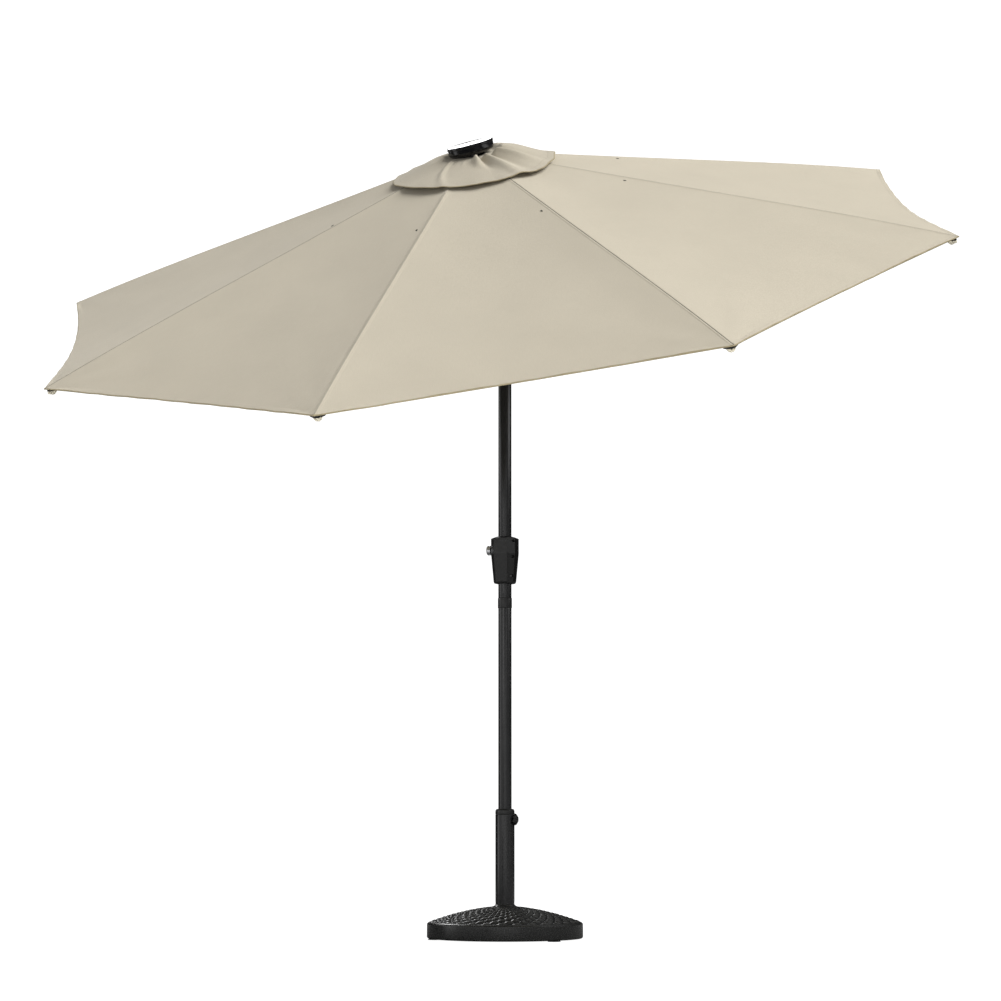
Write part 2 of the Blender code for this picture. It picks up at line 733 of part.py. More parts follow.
def bow(share):
    """How far a rib bows up, at this share of its length."""
    return BOW * share**3 * (1 - share)


def on_rib(radius, below):
    """(radius, height) of a point this far below the cloth, square to the rib."""
    height = APEX_Z - radius * math.tan(SLOPE)
    return radius - below * math.sin(SLOPE), height - below * math.cos(SLOPE)


def tongue_with_eye(name, reach, parent):
    """The flat end of a rib or strut: an eye on the ring wire and a tongue along +X, its local axis."""
    half, height = TONGUE_WIDTH / 2, TONGUE_HEIGHT / 2
    tongue = hidden_box(f"{name}_tongue", (0, -half, -height), (reach, half, height), parent)
    eye = hidden_rod(f"{name}_eye", (0, -half, 0), (0, half, 0), height, parent, 8)
    hole = hidden_rod(f"{name}_eye_hole", (0, -0.01, 0), (0, 0.01, 0), EYE_RADIUS, parent, 8)
    return tongue, eye, hole


def rib_mesh(name, start, end):
    """The rib's bar in its own frame, where +X runs along it from the hub wire."""
    spans = 4
    bm = bmesh.new()
    bmesh.ops.create_cube(bm, size=1)
    long_edges = [e for e in bm.edges if abs(e.verts[0].co.x - e.verts[1].co.x) > 0.5]
    bmesh.ops.subdivide_edges(bm, edges=long_edges, cuts=spans - 1, use_grid_fill=True)
    for vert in bm.verts:
        along = start + (end - start) * (vert.co.x + 0.5)
        share = (WIRE_RING + along * math.cos(SLOPE)) / TIP_RADIUS
        vert.co = (along, vert.co.y * RIB_WIDTH, vert.co.z * RIB_HEIGHT + bow(min(share, 1)))
    return finished(name, bm)


def build_rib(number, mast):
    name = f"rib_{number}"
    azimuth = (number - 1) * RIB_STEP
    at = (WIRE_RING * math.cos(azimuth), WIRE_RING * math.sin(azimuth), HUB_WIRE_Z)
    hinge = frame_at(f"{name}_hinge", at, (0, 0, azimuth), mast)
    along = frame_at(f"{name}_line", (0, 0, 0), (0, SLOPE, 0), hinge)
    end = (TIP_RADIUS - 0.010 - WIRE_RING) / math.cos(SLOPE)
    rib = place(name, rib_mesh(name, 0.0175, end), BLACK_METAL, along)
    tongue, eye, eye_hole = tongue_with_eye(name, 0.022, along)
    joint_radius, joint_height = on_rib(STRUT_JOINT_RADIUS, STRUT_JOINT_BELOW)
    joint = Vector((joint_radius - WIRE_RING, 0, joint_height - HUB_WIRE_Z))
    joint.rotate(Matrix.Rotation(-SLOPE, 3, "Y"))
    rib_bottom = -RIB_HEIGHT / 2 + bow(STRUT_JOINT_RADIUS / TIP_RADIUS)
    join(rib, tongue, eye)
    for side in (-1, 1):
        low_y, high_y = sorted((side * 0.0032, side * 0.0046))
        plate = hidden_box(
            f"{name}_ear_{side + 2}",
            (joint.x - 0.0065, low_y, joint.z - 0.0055),
            (joint.x + 0.0065, high_y, rib_bottom + 0.002),
            along,
        )
        join(rib, plate)
    pin_start, pin_end = (joint.x, -0.0050, joint.z), (joint.x, 0.0050, joint.z)
    join(rib, hidden_rod(f"{name}_strut_pin", pin_start, pin_end, 0.0015, along, 8))
    cut(rib, eye_hole)
    return hinge


def build_strut(number, mast):
    name = f"strut_{number}"
    azimuth = (number - 1) * RIB_STEP
    joint_radius, joint_height = on_rib(STRUT_JOINT_RADIUS, STRUT_JOINT_BELOW)
    reach = Vector((joint_radius - WIRE_RING, joint_height - RUNNER_WIRE_Z))
    rise = math.atan2(reach.y, reach.x)
    at = (WIRE_RING * math.cos(azimuth), WIRE_RING * math.sin(azimuth), RUNNER_WIRE_Z)
    hinge = frame_at(f"{name}_hinge", at, (0, 0, azimuth), mast)
    along = frame_at(f"{name}_line", (0, 0, 0), (0, -rise, 0), hinge)
    half_width, half_height = STRUT_WIDTH / 2, STRUT_HEIGHT / 2
    bar_low = (0.016, -half_width, -half_height)
    bar_high = (reach.length - 0.016, half_width, half_height)
    strut = place(name, box_mesh(name, bar_low, bar_high), BLACK_METAL, along)
    tongue, eye, eye_hole = tongue_with_eye(name, 0.020, along)
    far_half, far_height = 0.0028, 0.0045
    far_low = (reach.length - 0.020, -far_half, -far_height)
    far_tongue = hidden_box(f"{name}_far_tongue", far_low, (reach.length, far_half, far_height), along)
    far_ends = (reach.length, -far_half, 0), (reach.length, far_half, 0)
    far_eye = hidden_rod(f"{name}_far_eye", *far_ends, far_height, along, 8)
    hole_ends = (reach.length, -0.01, 0), (reach.length, 0.01, 0)
    far_hole = hidden_rod(f"{name}_far_hole", *hole_ends, 0.0028, along, 8)
    join(strut, tongue, eye, far_tongue, far_eye)
    cut(strut, eye_hole, far_hole)


def hem_point(share):
    """A point of the hem, this share of the way from this rib's tip to the next one's, in the rib's frame."""
    tip = Vector((TIP_RADIUS, 0, TIP_Z))
    next_tip = Vector((TIP_RADIUS * math.cos(RIB_STEP), TIP_RADIUS * math.sin(RIB_STEP), TIP_Z))
    curve = 4 * share * (1 - share)
    inward = Vector((-math.cos(RIB_STEP / 2), -math.sin(RIB_STEP / 2), 0))
    return tip.lerp(next_tip, share) + inward * HEM_IN * curve - Vector((0, 0, HEM_DROP * curve))


def canopy_point(along, across):
    """A point of the cloth's outer face: along runs 0 to 1 from apex to hem, and across -1 to 1 from one panel's
    middle over the rib to the next panel's middle."""
    hem = hem_point(abs(across) / 2)
    if across < 0:
        hem.y = -hem.y
    apex = Vector((0, 0, APEX_Z))
    point = apex.lerp(hem, along)
    point.z = min(point.z + bow(along), FLAT_TOP_Z)
    return point


def build_gore(number, hinge):
    """One rib's share of the canopy: half a panel on each side of the rib."""
    name = f"canopy_gore_{number}"
    halves = 3
    rows = len(STATIONS) - 1
    bm = bmesh.new()
    bmesh.ops.create_grid(bm, x_segments=rows, y_segments=2 * halves, size=1)
    half_gap = 0.0002
    edge_in = Vector((math.sin(RIB_STEP / 2), -math.cos(RIB_STEP / 2), 0)) * half_gap
    for vert in bm.verts:
        row = round((vert.co.x + 1) / 2 * rows)
        across = round(vert.co.y * halves) / halves
        point = canopy_point(STATIONS[row], across)
        if abs(across) == 1:
            point += Vector((edge_in.x, edge_in.y * across, 0))
        vert.co = point - Vector((WIRE_RING, 0, HUB_WIRE_Z))
    bmesh.ops.recalc_face_normals(bm, faces=bm.faces)
    if sum(face.normal.z for face in bm.faces) < 0:
        bmesh.ops.reverse_faces(bm, faces=bm.faces)
    mesh = bpy.data.meshes.new(name)
    bm.to_mesh(mesh)
    bm.free()
    mesh.shade_smooth()
    gore = place(name, mesh, CANVAS, hinge)
    solid = gore.modifiers.new("Cloth", "SOLIDIFY")
    solid.thickness = CLOTH
    solid.offset = -1


def build_umbrella():
    build_base()
    build_pole()
    build_housing()
    build_crank()
    mast = frame_at("mast_frame", (0, 0, TILT_Z), (TILT, 0, 0))
    build_tilt_joint(mast)
    build_mast(mast)
    build_light(mast)
    build_vent_cap(mast)
    for number in range(1, RIBS + 1):
        hinge = build_rib(number, mast)
        build_strut(number, mast)
        build_gore(number, hinge)


build_umbrella()
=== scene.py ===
"""The looks of a tilting patio umbrella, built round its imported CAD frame.

Metres, +Z up. The mast leans towards -Y. Shapes above the tilt joint are built in the mast's own frame, whose origin is
on the tilt joint's axis, and shapes of one rib in that frame turned to the rib, which then runs along +X.
"""

import json
import math

import bmesh
import bpy
import numpy as np
from mathutils import Matrix, Vector


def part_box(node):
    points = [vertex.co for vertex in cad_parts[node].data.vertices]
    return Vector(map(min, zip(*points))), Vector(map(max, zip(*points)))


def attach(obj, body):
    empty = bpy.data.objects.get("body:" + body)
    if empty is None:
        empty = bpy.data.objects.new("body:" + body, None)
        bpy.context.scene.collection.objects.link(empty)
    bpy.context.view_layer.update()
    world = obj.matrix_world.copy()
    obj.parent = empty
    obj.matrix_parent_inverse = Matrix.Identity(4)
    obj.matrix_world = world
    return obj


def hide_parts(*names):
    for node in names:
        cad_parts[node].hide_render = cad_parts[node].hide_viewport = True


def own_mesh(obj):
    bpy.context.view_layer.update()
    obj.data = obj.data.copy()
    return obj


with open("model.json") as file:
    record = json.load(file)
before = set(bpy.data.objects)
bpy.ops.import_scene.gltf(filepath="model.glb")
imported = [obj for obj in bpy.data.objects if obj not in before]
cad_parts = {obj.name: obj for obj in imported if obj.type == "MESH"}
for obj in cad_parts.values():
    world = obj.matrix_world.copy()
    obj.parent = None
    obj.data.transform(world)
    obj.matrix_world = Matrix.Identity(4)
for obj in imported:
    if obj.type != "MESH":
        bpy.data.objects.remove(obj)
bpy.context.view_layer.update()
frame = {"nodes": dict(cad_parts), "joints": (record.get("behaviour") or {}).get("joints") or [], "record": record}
JOINTS = {joint["name"]: joint for joint in frame["joints"]}
SLOT_OF = {part["node"]: part["material_slot"] for part in frame["record"]["subparts"]}

TILT_AT = Vector(JOINTS["canopy_tilt"]["pos_m"])
MAST_UP = Vector(JOINTS["runner_slide"]["axis"]).normalized()
MAST = Matrix.Translation(TILT_AT) @ Matrix.Rotation(math.atan2(-MAST_UP.y, MAST_UP.z), 4, "X")
CLAMP_HEIGHT = JOINTS["clamp_turn"]["pos_m"][2]
CLAMP = Matrix.Translation((0, 0, CLAMP_HEIGHT)) @ Matrix.Rotation(math.pi / 2, 4, "Y")  # its +Z points along +X

# The canopy's sizes, as the CAD has them, in the mast's frame
RIBS = 8
RIB_STEP = 2 * math.pi / RIBS
TIP_RADIUS, TIP_HEIGHT = 1.35, 0.270
APEX_HEIGHT, FLAT_TOP = 0.627, 0.6128
HEM_IN, HEM_DROP, BOW, CLOTH = 0.034, 0.011, 0.0474, 0.0012
INNER_EDGE = 0.030  # share of the way from apex to hem where the cloth begins
SLOPE = math.atan((APEX_HEIGHT - TIP_HEIGHT) / TIP_RADIUS)
RIB_LENGTH = math.hypot(TIP_RADIUS, APEX_HEIGHT - TIP_HEIGHT)


# Materials


class Tree:
    """A node tree, with short calls for the nodes used here."""

    def __init__(self, tree):
        self.tree = tree

    def add(self, kind, inputs=(), **settings):
        node = self.tree.nodes.new("ShaderNode" + kind)
        for key, value in settings.items():
            setattr(node, key, value)
        for key, value in dict(inputs).items():
            if isinstance(value, bpy.types.NodeSocket):
                self.tree.links.new(value, node.inputs[key])
            else:
                node.inputs[key].default_value = value
        return node

    def math(self, operation, *values):
        return self.add("Math", enumerate(values), operation=operation).outputs[0]

    def ramp(self, value, low, high, to_low=0.0, to_high=1.0, smooth=False):
        inputs = {"Value": value, "From Min": low, "From Max": high, "To Min": to_low, "To Max": to_high}
        kind = "SMOOTHSTEP" if smooth else "LINEAR"
        return self.add("MapRange", inputs, interpolation_type=kind).outputs["Result"]


class Nodes(Tree):
    """The node tree of a new material."""

    def __init__(self, name, colour, roughness, metallic=0.0, **sockets):
        self.material = bpy.data.materials.new(name)
        self.material.use_nodes = True
        super().__init__(self.material.node_tree)
        self.shader = self.tree.nodes["Principled BSDF"]
        self.shader.inputs["Base Color"].default_value = (*colour, 1.0)
        self.shader.inputs["Roughness"].default_value = roughness
        self.shader.inputs["Metallic"].default_value = metallic
        for socket, value in sockets.items():
            self.shader.inputs[socket.replace("_", " ")].default_value = value
        self.material.diffuse_color = (*colour, 1.0)

    def place(self):
        """The point on the object at rest."""
        return self.add("TexCoord").outputs["Object"]

    def stretched(self, vector, scale):
        return self.add("Mapping", {"Vector": vector, "Scale": scale}).outputs[0]

    def attribute(self, name, output="Fac"):
        return self.add("Attribute", attribute_name=name).outputs[output]

    def axes(self, name):
        """The X, Y and Z sockets of an attribute that is a vector."""
        return self.add("SeparateXYZ", {0: self.attribute(name, "Vector")}).outputs

    def noise(self, scale, detail=2.0, roughness=0.5, vector=None):
        inputs = {"Vector": vector or self.place(), "Scale": scale, "Detail": detail, "Roughness": roughness}
        return self.add("TexNoise", inputs).outputs["Fac"]

    def spread(self, noise, to_low=0.0, to_high=1.0):
        """A noise's usual range, drawn out to the range wanted."""
        return self.ramp(noise, 0.3, 0.7, to_low, to_high)

    def blend(self, factor, first, second):
        """A colour between two colours or sockets."""
        node = self.add("Mix", data_type="RGBA")
        for key, value in ((0, factor), (6, first), (7, second)):
            if isinstance(value, bpy.types.NodeSocket):
                self.tree.links.new(value, node.inputs[key])
            else:
                node.inputs[key].default_value = (*value, 1.0) if isinstance(value, tuple) else value
        return node.outputs[2]

    def bump(self, height, distance, strength, under=None):
        inputs = {"Height": height, "Distance": distance, "Strength": strength}
        if under:
            inputs["Normal"] = under
        return self.add("Bump", inputs).outputs[0]

    def finish(self, colour=None, roughness=None, normal=None):
        for key, value in (("Base Color", colour), ("Roughness", roughness), ("Normal", normal)):
            if value is not None:
                self.tree.links.new(value, self.shader.inputs[key])
        return self.material


def shade(colour, factor):
    return tuple(channel * factor for channel in colour)


def coated_metal(name, colour, rough_low, rough_high):
    """Powder coat: a fine orange peel and a slightly uneven gloss."""
    n = Nodes(name, colour, rough_low)
    tone = n.blend(n.spread(n.noise(22.0, 3.0)), shade(colour, 0.82), shade(colour, 1.2))
    rough = n.spread(n.noise(60.0, 4.0), rough_low, rough_high)
    return n.finish(tone, rough, n.bump(n.noise(900.0), 0.00006, 0.6))


def moulded_plastic(name, colour, rough_low, rough_high):
    n = Nodes(name, colour, rough_low)
    tone = n.blend(n.spread(n.noise(35.0, 3.0)), shade(colour, 0.85), shade(colour, 1.18))
    rough = n.spread(n.noise(90.0, 3.0), rough_low, rough_high)
    return n.finish(tone, rough, n.bump(n.noise(1600.0, 1.0), 0.00005, 0.7))


def cast_stone():
    """The painted casting: grainy, with painted shade in its hollows and painted light on its high strands."""
    colour = (0.0098, 0.0099, 0.0095)
    n = Nodes("cast_base", colour, 0.34)
    height = n.attribute("relief")
    # painted shade and light: darker in the hollows and paler on the high strands, from the relief attribute
    tone = n.blend(n.ramp(height, 0.1, 0.8), shade(colour, 0.35), shade(colour, 2.0))
    grit = n.noise(700.0, 3.0, 0.6)
    tone = n.blend(n.ramp(grit, 0.55, 0.8, 0.0, 0.25), tone, shade(colour, 1.8))
    rough = n.spread(n.noise(120.0, 4.0), 0.22, 0.34)
    coarse = n.bump(n.noise(160.0, 3.0), 0.0003, 0.15)
    return n.finish(tone, rough, n.bump(grit, 0.00005, 0.5, coarse))


def rubber():
    n = Nodes("rubber", (0.012, 0.012, 0.012), 0.8)
    tone = n.blend(n.noise(80.0), (0.009, 0.009, 0.009), (0.018, 0.018, 0.018))
    return n.finish(tone, n.spread(n.noise(200.0), 0.7, 0.9), n.bump(n.noise(1200.0), 0.00008, 0.6))


def polished(name, colour, rough_low, rough_high, stretch):
    """Bare or plated metal with fine lines from polishing."""
    n = Nodes(name, colour, rough_low, 1.0)
    lines = n.noise(1.0, 3.0, 0.7, n.stretched(n.place(), stretch))
    tone = n.blend(n.spread(lines), shade(colour, 0.9), colour)
    return n.finish(tone, n.spread(lines, rough_low, rough_high), n.bump(lines, 0.00002, 0.4))


def gloss_shell():
    """The light's bowl, in glossy plastic."""
    n = Nodes("light_shell", (0.004, 0.004, 0.005), 0.12, Specular_IOR_Level=0.35)
    rough = n.spread(n.noise(60.0, 4.0), 0.10, 0.22)
    tone = n.blend(n.noise(30.0), (0.003, 0.003, 0.004), (0.005, 0.005, 0.006))
    return n.finish(tone, rough, n.bump(n.noise(300.0), 0.00002, 0.5))


def solar_glass():
    """Dark cells under glass, with their silver fingers and bus bars."""
    n = Nodes("solar_glass", (0.010, 0.014, 0.035), 0.06, Coat_Weight=1.0, Coat_Roughness=0.02)
    panel = n.axes("panel")

    def lines(value, pitch, width):
        phase = n.math("PINGPONG", value, pitch / 2)
        return n.math("LESS_THAN", phase, width / 2)

    fingers = lines(panel["Y"], 0.0022, 0.00022)
    bars = lines(n.math("ADD", panel["X"], 0.5), 0.026, 0.0011)
    gaps = lines(n.math("ADD", panel["Y"], 0.5), 0.0315, 0.0016)
    speckle = n.noise(900.0, 4.0, 0.7)
    tone = n.blend(n.ramp(speckle, 0.35, 0.65), (0.006, 0.009, 0.026), (0.014, 0.020, 0.050))
    tone = n.blend(n.math("MULTIPLY", fingers, 0.35), tone, (0.22, 0.23, 0.25))
    tone = n.blend(gaps, tone, (0.004, 0.004, 0.005))
    tone = n.blend(bars, tone, (0.35, 0.36, 0.38))
    tone = n.blend(n.attribute("cell"), (0.006, 0.006, 0.008), tone)
    return n.finish(tone, n.spread(n.noise(40.0, 3.0), 0.03, 0.10))


CLOTH_COLOUR = (0.560, 0.507, 0.403)
# stitches: a thread colour darkened to paint the shade in the needle holes
THREAD_AND_HOLE_SHADE_COLOUR = (0.36, 0.32, 0.24)
# painted shade on the hem's edge, tinted ochre
HEM_EDGE_SHADE_COLOUR = (0.33, 0.275, 0.155)
WEAVE_PITCH = 0.0011


def canvas(name, colour, hem_rows=(), thread_shows=0.0):
    """Woven polyester, with painted shade between its threads. With hem_rows, the distances of the rows of stitches
    from the hem, another row runs on each side of the seams. All these stitches are darkened to paint the shade in
    their needle holes, a line of painted shade runs in each seam's crease, and painted shade, tinted ochre, darkens
    the hem's edge. The places come from the piece's own distances, in metres: seam has those across and along the
    seam and how strong the painted shade in its crease is, and hem has those in from the hem and along it."""
    n = Nodes(name, colour, 0.85, Sheen_Weight=0.12, Sheen_Roughness=0.5, Specular_IOR_Level=0.25)
    grain = n.axes("grain")
    waves = [n.math("SINE", n.math("MULTIPLY", grain[axis], 2 * math.pi / WEAVE_PITCH)) for axis in ("X", "Y")]
    weave = n.math("MULTIPLY", *waves)
    cloudy = n.noise(7.0, 4.0, 0.55)
    slub = n.noise(1.0, 3.0, 0.6, n.stretched(n.attribute("grain", "Vector"), (520, 40, 1)))
    tone = n.blend(n.spread(cloudy), shade(colour, 0.975), shade(colour, 1.02))
    tone = n.blend(n.ramp(slub, 0.35, 0.75, 0.0, 0.5), tone, shade(colour, 0.93))
    # painted shade between the threads: darker where the weave dips
    tone = n.blend(n.ramp(weave, -1.0, 1.0, 0.14, 0.0), tone, shade(colour, 0.55))
    height = n.math("MULTIPLY", weave, 0.00012)
    crumple = n.bump(n.noise(26.0, 4.0, 0.5), 0.0016, 0.28)
    if hem_rows:
        seam, hem = n.axes("seam"), n.axes("hem")

        def stitches(distance, run, at, width=0.0009, step=0.0042):
            beside = n.ramp(n.math("ABSOLUTE", n.math("SUBTRACT", distance, at)), width * 0.4, width, 1.0, 0.0)
            dash = n.ramp(n.math("PINGPONG", run, step / 2), step * 0.08, step * 0.16)
            return n.math("MULTIPLY", beside, dash)

        from_seam = n.math("ABSOLUTE", seam["X"])
        thread = stitches(from_seam, seam["Y"], 0.0062)
        for at in hem_rows:
            thread = n.math("MAXIMUM", thread, stitches(hem["X"], hem["Y"], at))
        # painted shade: a dark line in the seam's crease, as strong as the seam's third value says
        crease = n.ramp(from_seam, 0.0006, 0.0019, 1.0, 0.0, True)
        # painted shade along the hem's edge, tinted ochre
        edge = n.ramp(hem["X"], 0.0010, 0.0045, 1.0, 0.0, True)
        tone = n.blend(n.math("MULTIPLY", crease, seam["Z"]), tone, shade(colour, 0.05))
        tone = n.blend(n.math("MULTIPLY", edge, 0.85), tone, HEM_EDGE_SHADE_COLOUR)
        # stitches, darkened to paint the shade in their needle holes
        tone = n.blend(n.math("MULTIPLY", thread, thread_shows), tone, THREAD_AND_HOLE_SHADE_COLOUR)
        height = n.math("ADD", height, n.math("MULTIPLY", thread, 0.0005))
    return n.finish(tone, n.spread(slub, 0.78, 0.92), n.bump(height, 1.0, 0.8, crumple))


MATERIALS = {
    "canopy_cloth": canvas("canopy_canvas", CLOTH_COLOUR, (0.0125,), 0.14),
    "vent_cloth": canvas("vent_canvas", shade(CLOTH_COLOUR, 0.93), (0.021, 0.003), 0.7),
    # painted light: the pouches' cloth is paler than the canopy's, to stand for the light on them under the corners
    "patch_cloth": canvas("patch_canvas_painted_light", (0.80, 0.74, 0.58)),
    "pole_paint": coated_metal("pole_paint", (0.0100, 0.0100, 0.0103), 0.20, 0.27),
    "rib_paint": coated_metal("rib_paint", (0.014, 0.014, 0.0145), 0.40, 0.48),
    "plastic": moulded_plastic("plastic", (0.0068, 0.0067, 0.0065), 0.30, 0.38),
    "base_shell": cast_stone(),
    "rubber": rubber(),
    "chrome": polished("chrome", (0.90, 0.91, 0.93), 0.12, 0.22, (900, 60, 60)),
    "hardware": polished("hardware", (0.42, 0.42, 0.43), 0.28, 0.45, (300, 300, 300)),
    "light_shell": gloss_shell(),
    "solar_cell": solar_glass(),
}


# Making pieces


def new_object(name, data):
    obj = bpy.data.objects.new(name, data)
    bpy.context.scene.collection.objects.link(obj)
    return obj


def add_piece(name, mesh, body, finish, replaces=(), matrix=None):
    """A mesh, moved by matrix, as a piece of the object that rides on a body."""
    if matrix is not None:
        mesh.transform(matrix)
    mesh.materials.append(MATERIALS[finish])
    obj = new_object(name, mesh)
    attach(obj, body)
    if replaces:
        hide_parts(*replaces)
    return obj


def bm_mesh(name, bm, sharp=35.0):
    bmesh.ops.recalc_face_normals(bm, faces=bm.faces)
    mesh = bpy.data.meshes.new(name)
    bm.to_mesh(mesh)
    bm.free()
    mesh.shade_smooth()
    mesh.set_sharp_from_angle(angle=math.radians(sharp))
    return mesh


def rounded(outline, radius, closed=True):
    """The outline with its corners rounded, apart from those on the axis and very blunt ones."""
    segments, blunt, most = 4, math.radians(15), 0.45
    points = [Vector(point) for point in outline]
    found = []
    for i, point in enumerate(points):
        back, ahead = points[i - 1] - point, points[(i + 1) % len(points)] - point
        end = not closed and i in (0, len(points) - 1)
        bend = 0.0 if end else math.pi - back.angle(ahead)
        if point.x < 1e-6 or bend < blunt:
            found.append(tuple(point))
            continue
        reach = min(radius * math.tan(bend / 2), most * back.length, most * ahead.length)
        start, stop = point + back.normalized() * reach, point + ahead.normalized() * reach
        for k in range(segments + 1):
            t = k / segments
            found.append(tuple(start * (1 - t) ** 2 + point * 2 * t * (1 - t) + stop * t**2))
    return found


def join_rings(bm, first, second):
    """Faces between two rings of vertices, where a ring may also be one vertex many times over."""
    for k in range(len(first)):
        m = (k + 1) % len(first)
        unique = list(dict.fromkeys((first[k], first[m], second[m], second[k])))
        if len(unique) > 2:
            bm.faces.new(unique)


def lathe(name, outline, steps=96, sharp=35.0, squeeze=1.0):
    """Turns (radius, height) points about Z, squeezed along Y. An outline that starts and ends on the axis closes
    there, and any other is closed into a ring."""
    bm = bmesh.new()
    rings = []
    for radius, height in outline:
        if radius < 1e-7:
            rings.append([bm.verts.new((0, 0, height))] * steps)
            continue
        turns = [2 * math.pi * k / steps for k in range(steps)]
        rings.append([bm.verts.new((radius * math.cos(a), radius * squeeze * math.sin(a), height)) for a in turns])
    on_axis = outline[0][0] < 1e-7 and outline[-1][0] < 1e-7
    pairs = list(zip(rings, rings[1:])) + ([] if on_axis else [(rings[-1], rings[0])])
    for first, second in pairs:
        join_rings(bm, first, second)
    return bm_mesh(name, bm, sharp)


def set_attribute(mesh, name, values):
    """A float or a vector for each vertex, which a material reads."""
    values = np.asarray(values, np.float32)
    kind = "FLOAT" if values.ndim == 1 else "FLOAT_VECTOR"
    attribute = mesh.attributes.new(name, kind, "POINT")
    attribute.data.foreach_set("value" if kind == "FLOAT" else "vector", values.ravel())


def vertex_array(mesh):
    points = np.zeros(len(mesh.vertices) * 3, np.float32)
    mesh.vertices.foreach_get("co", points)
    return points.reshape(-1, 3).astype(float)


def smoothstep(low, high, value):
    t = np.clip((value - low) / (high - low), 0, 1)
    return t * t * (3 - 2 * t)


# Base


def dome_height(radius):
    """The base's upper side at these radii, as the CAD has it."""
    outline = [
        (0.02755, 0.0965),
        (0.0295, 0.0940),
        (0.0335, 0.0920),
        (0.042, 0.0903),
        (0.052, 0.0891),
        (0.0706, 0.0864),
        (0.1026, 0.0808),
        (0.149, 0.0695),
        (0.185, 0.0583),
        (0.209, 0.0500),
        (0.218, 0.0465),
        (0.221, 0.0430),
    ]
    radii, heights = zip(*outline)
    return np.interp(radius, radii, heights)


def build_base():
    """The casting, with its basket weave: strands round the dome that pass over and under, offset from row to row."""
    bumps, relief, weave_in, weave_out = 30, 0.0056, 0.046, 0.2135
    neck, rim, rows_per_strand, steps = 0.02755, 0.221, 9, bumps * 12
    edges = [weave_out]
    while edges[-1] > weave_in:
        edges.append(edges[-1] - (0.0085 + 0.040 * (edges[-1] - weave_in)))
    edges = np.array(edges[::-1])
    spans = zip([neck, *edges], edges)
    radii = [np.linspace(low, high, rows_per_strand + 1)[:-1] for low, high in spans]
    radii = np.concatenate([*radii, [weave_out]])
    angle = np.arange(steps) * 2 * math.pi / steps
    smooth_radii = np.linspace(neck, rim, 300)
    padded = np.pad(dome_height(smooth_radii), 3, mode="edge")
    base_height = np.interp(radii, smooth_radii, np.convolve(padded, np.ones(7) / 7, "valid"))
    base_height[0] = dome_height(radii[0])
    strand = np.clip(np.searchsorted(edges, radii, side="right") - 1, 0, len(edges) - 2)
    across = (radii - edges[strand]) / (edges[strand + 1] - edges[strand]) * 2 - 1
    over = np.cos(bumps * angle[None, :] + math.pi * (strand[:, None] % 2))
    profile = np.sqrt(np.clip(1 - across**2, 0, 1))[:, None]
    height = profile * (0.12 + 0.88 * smoothstep(-0.75, 0.75, over))
    shown = smoothstep(edges[0], edges[0] + 0.010, radii)
    height = height * shown[:, None]
    size = np.interp(radii, [weave_in, weave_out], [0.55, 1.0])[:, None]
    z = base_height[:, None] + relief * size * (height - 0.70 * shown[:, None])
    x, y = radii[:, None] * np.cos(angle), radii[:, None] * np.sin(angle)
    dome = np.stack([x, y, z], axis=-1)
    edge = [(weave_out + 0.0006, 0.0484), (0.218, 0.0465), (rim, 0.0430), (rim, 0.006), (0.218, 0.003)]
    edge = rounded(edge, 0.0022, False)
    under = [(0.0225, 0.003), (0.0225, 0.018), (0.0056, 0.018), (0.0056, 0.030), (neck, 0.030)]
    below = np.array([[(r * math.cos(a), r * math.sin(a), h) for a in angle] for r, h in edge + under])
    grid = np.concatenate([dome, below])
    # relief for the material: painted shade in the hollows and painted light on the high strands
    tone = np.concatenate([height * 0.9 + 0.4 * (1 - shown[:, None]), np.full(below.shape[:2], 0.42)])
    rows = len(grid)
    faces = []
    for i in range(rows):
        j = (i + 1) % rows
        for k in range(steps):
            m = (k + 1) % steps
            faces.append((i * steps + k, j * steps + k, j * steps + m, i * steps + m))
    mesh = bpy.data.meshes.new("base_shell")
    mesh.from_pydata(grid.reshape(-1, 3).tolist(), [], faces)
    mesh.shade_smooth()
    mesh.set_sharp_from_angle(angle=math.radians(50))
    set_attribute(mesh, "relief", tone.ravel())
    add_piece("base_shell", mesh, "base", "base_shell", replaces=["base_body"])

    sleeve = [(0.02725, 0.350), (0.02725, 0.0303), (0.0056, 0.0303), (0.0056, 0.036), (0.0252, 0.036), (0.0252, 0.350)]
    mesh = lathe("sleeve_tube", rounded(sleeve, 0.0006))
    add_piece("sleeve_tube", mesh, "base", "pole_paint", replaces=["base_sleeve"])
    boss = [(0, 0.0281), (0.0085, 0.0281), (0.0085, 0.0264), (0, 0.0264)]
    mesh = lathe("clamp_boss", rounded(boss, 0.0006), 48)
    add_piece("clamp_boss", mesh, "base", "pole_paint", matrix=CLAMP)
    collar = [
        (0.0208, 0.3660),
        (0.0248, 0.3648),
        (0.0268, 0.3615),
        (0.02735, 0.3575),
        (0.02735, 0.3503),
        (0.0249, 0.3503),
        (0.0249, 0.290),
        (0.0195, 0.290),
        (0.0195, 0.3655),
    ]
    mesh = lathe("collar_ring", rounded(collar, 0.0016))
    add_piece("collar_ring", mesh, "base", "plastic", replaces=["sleeve_collar"])


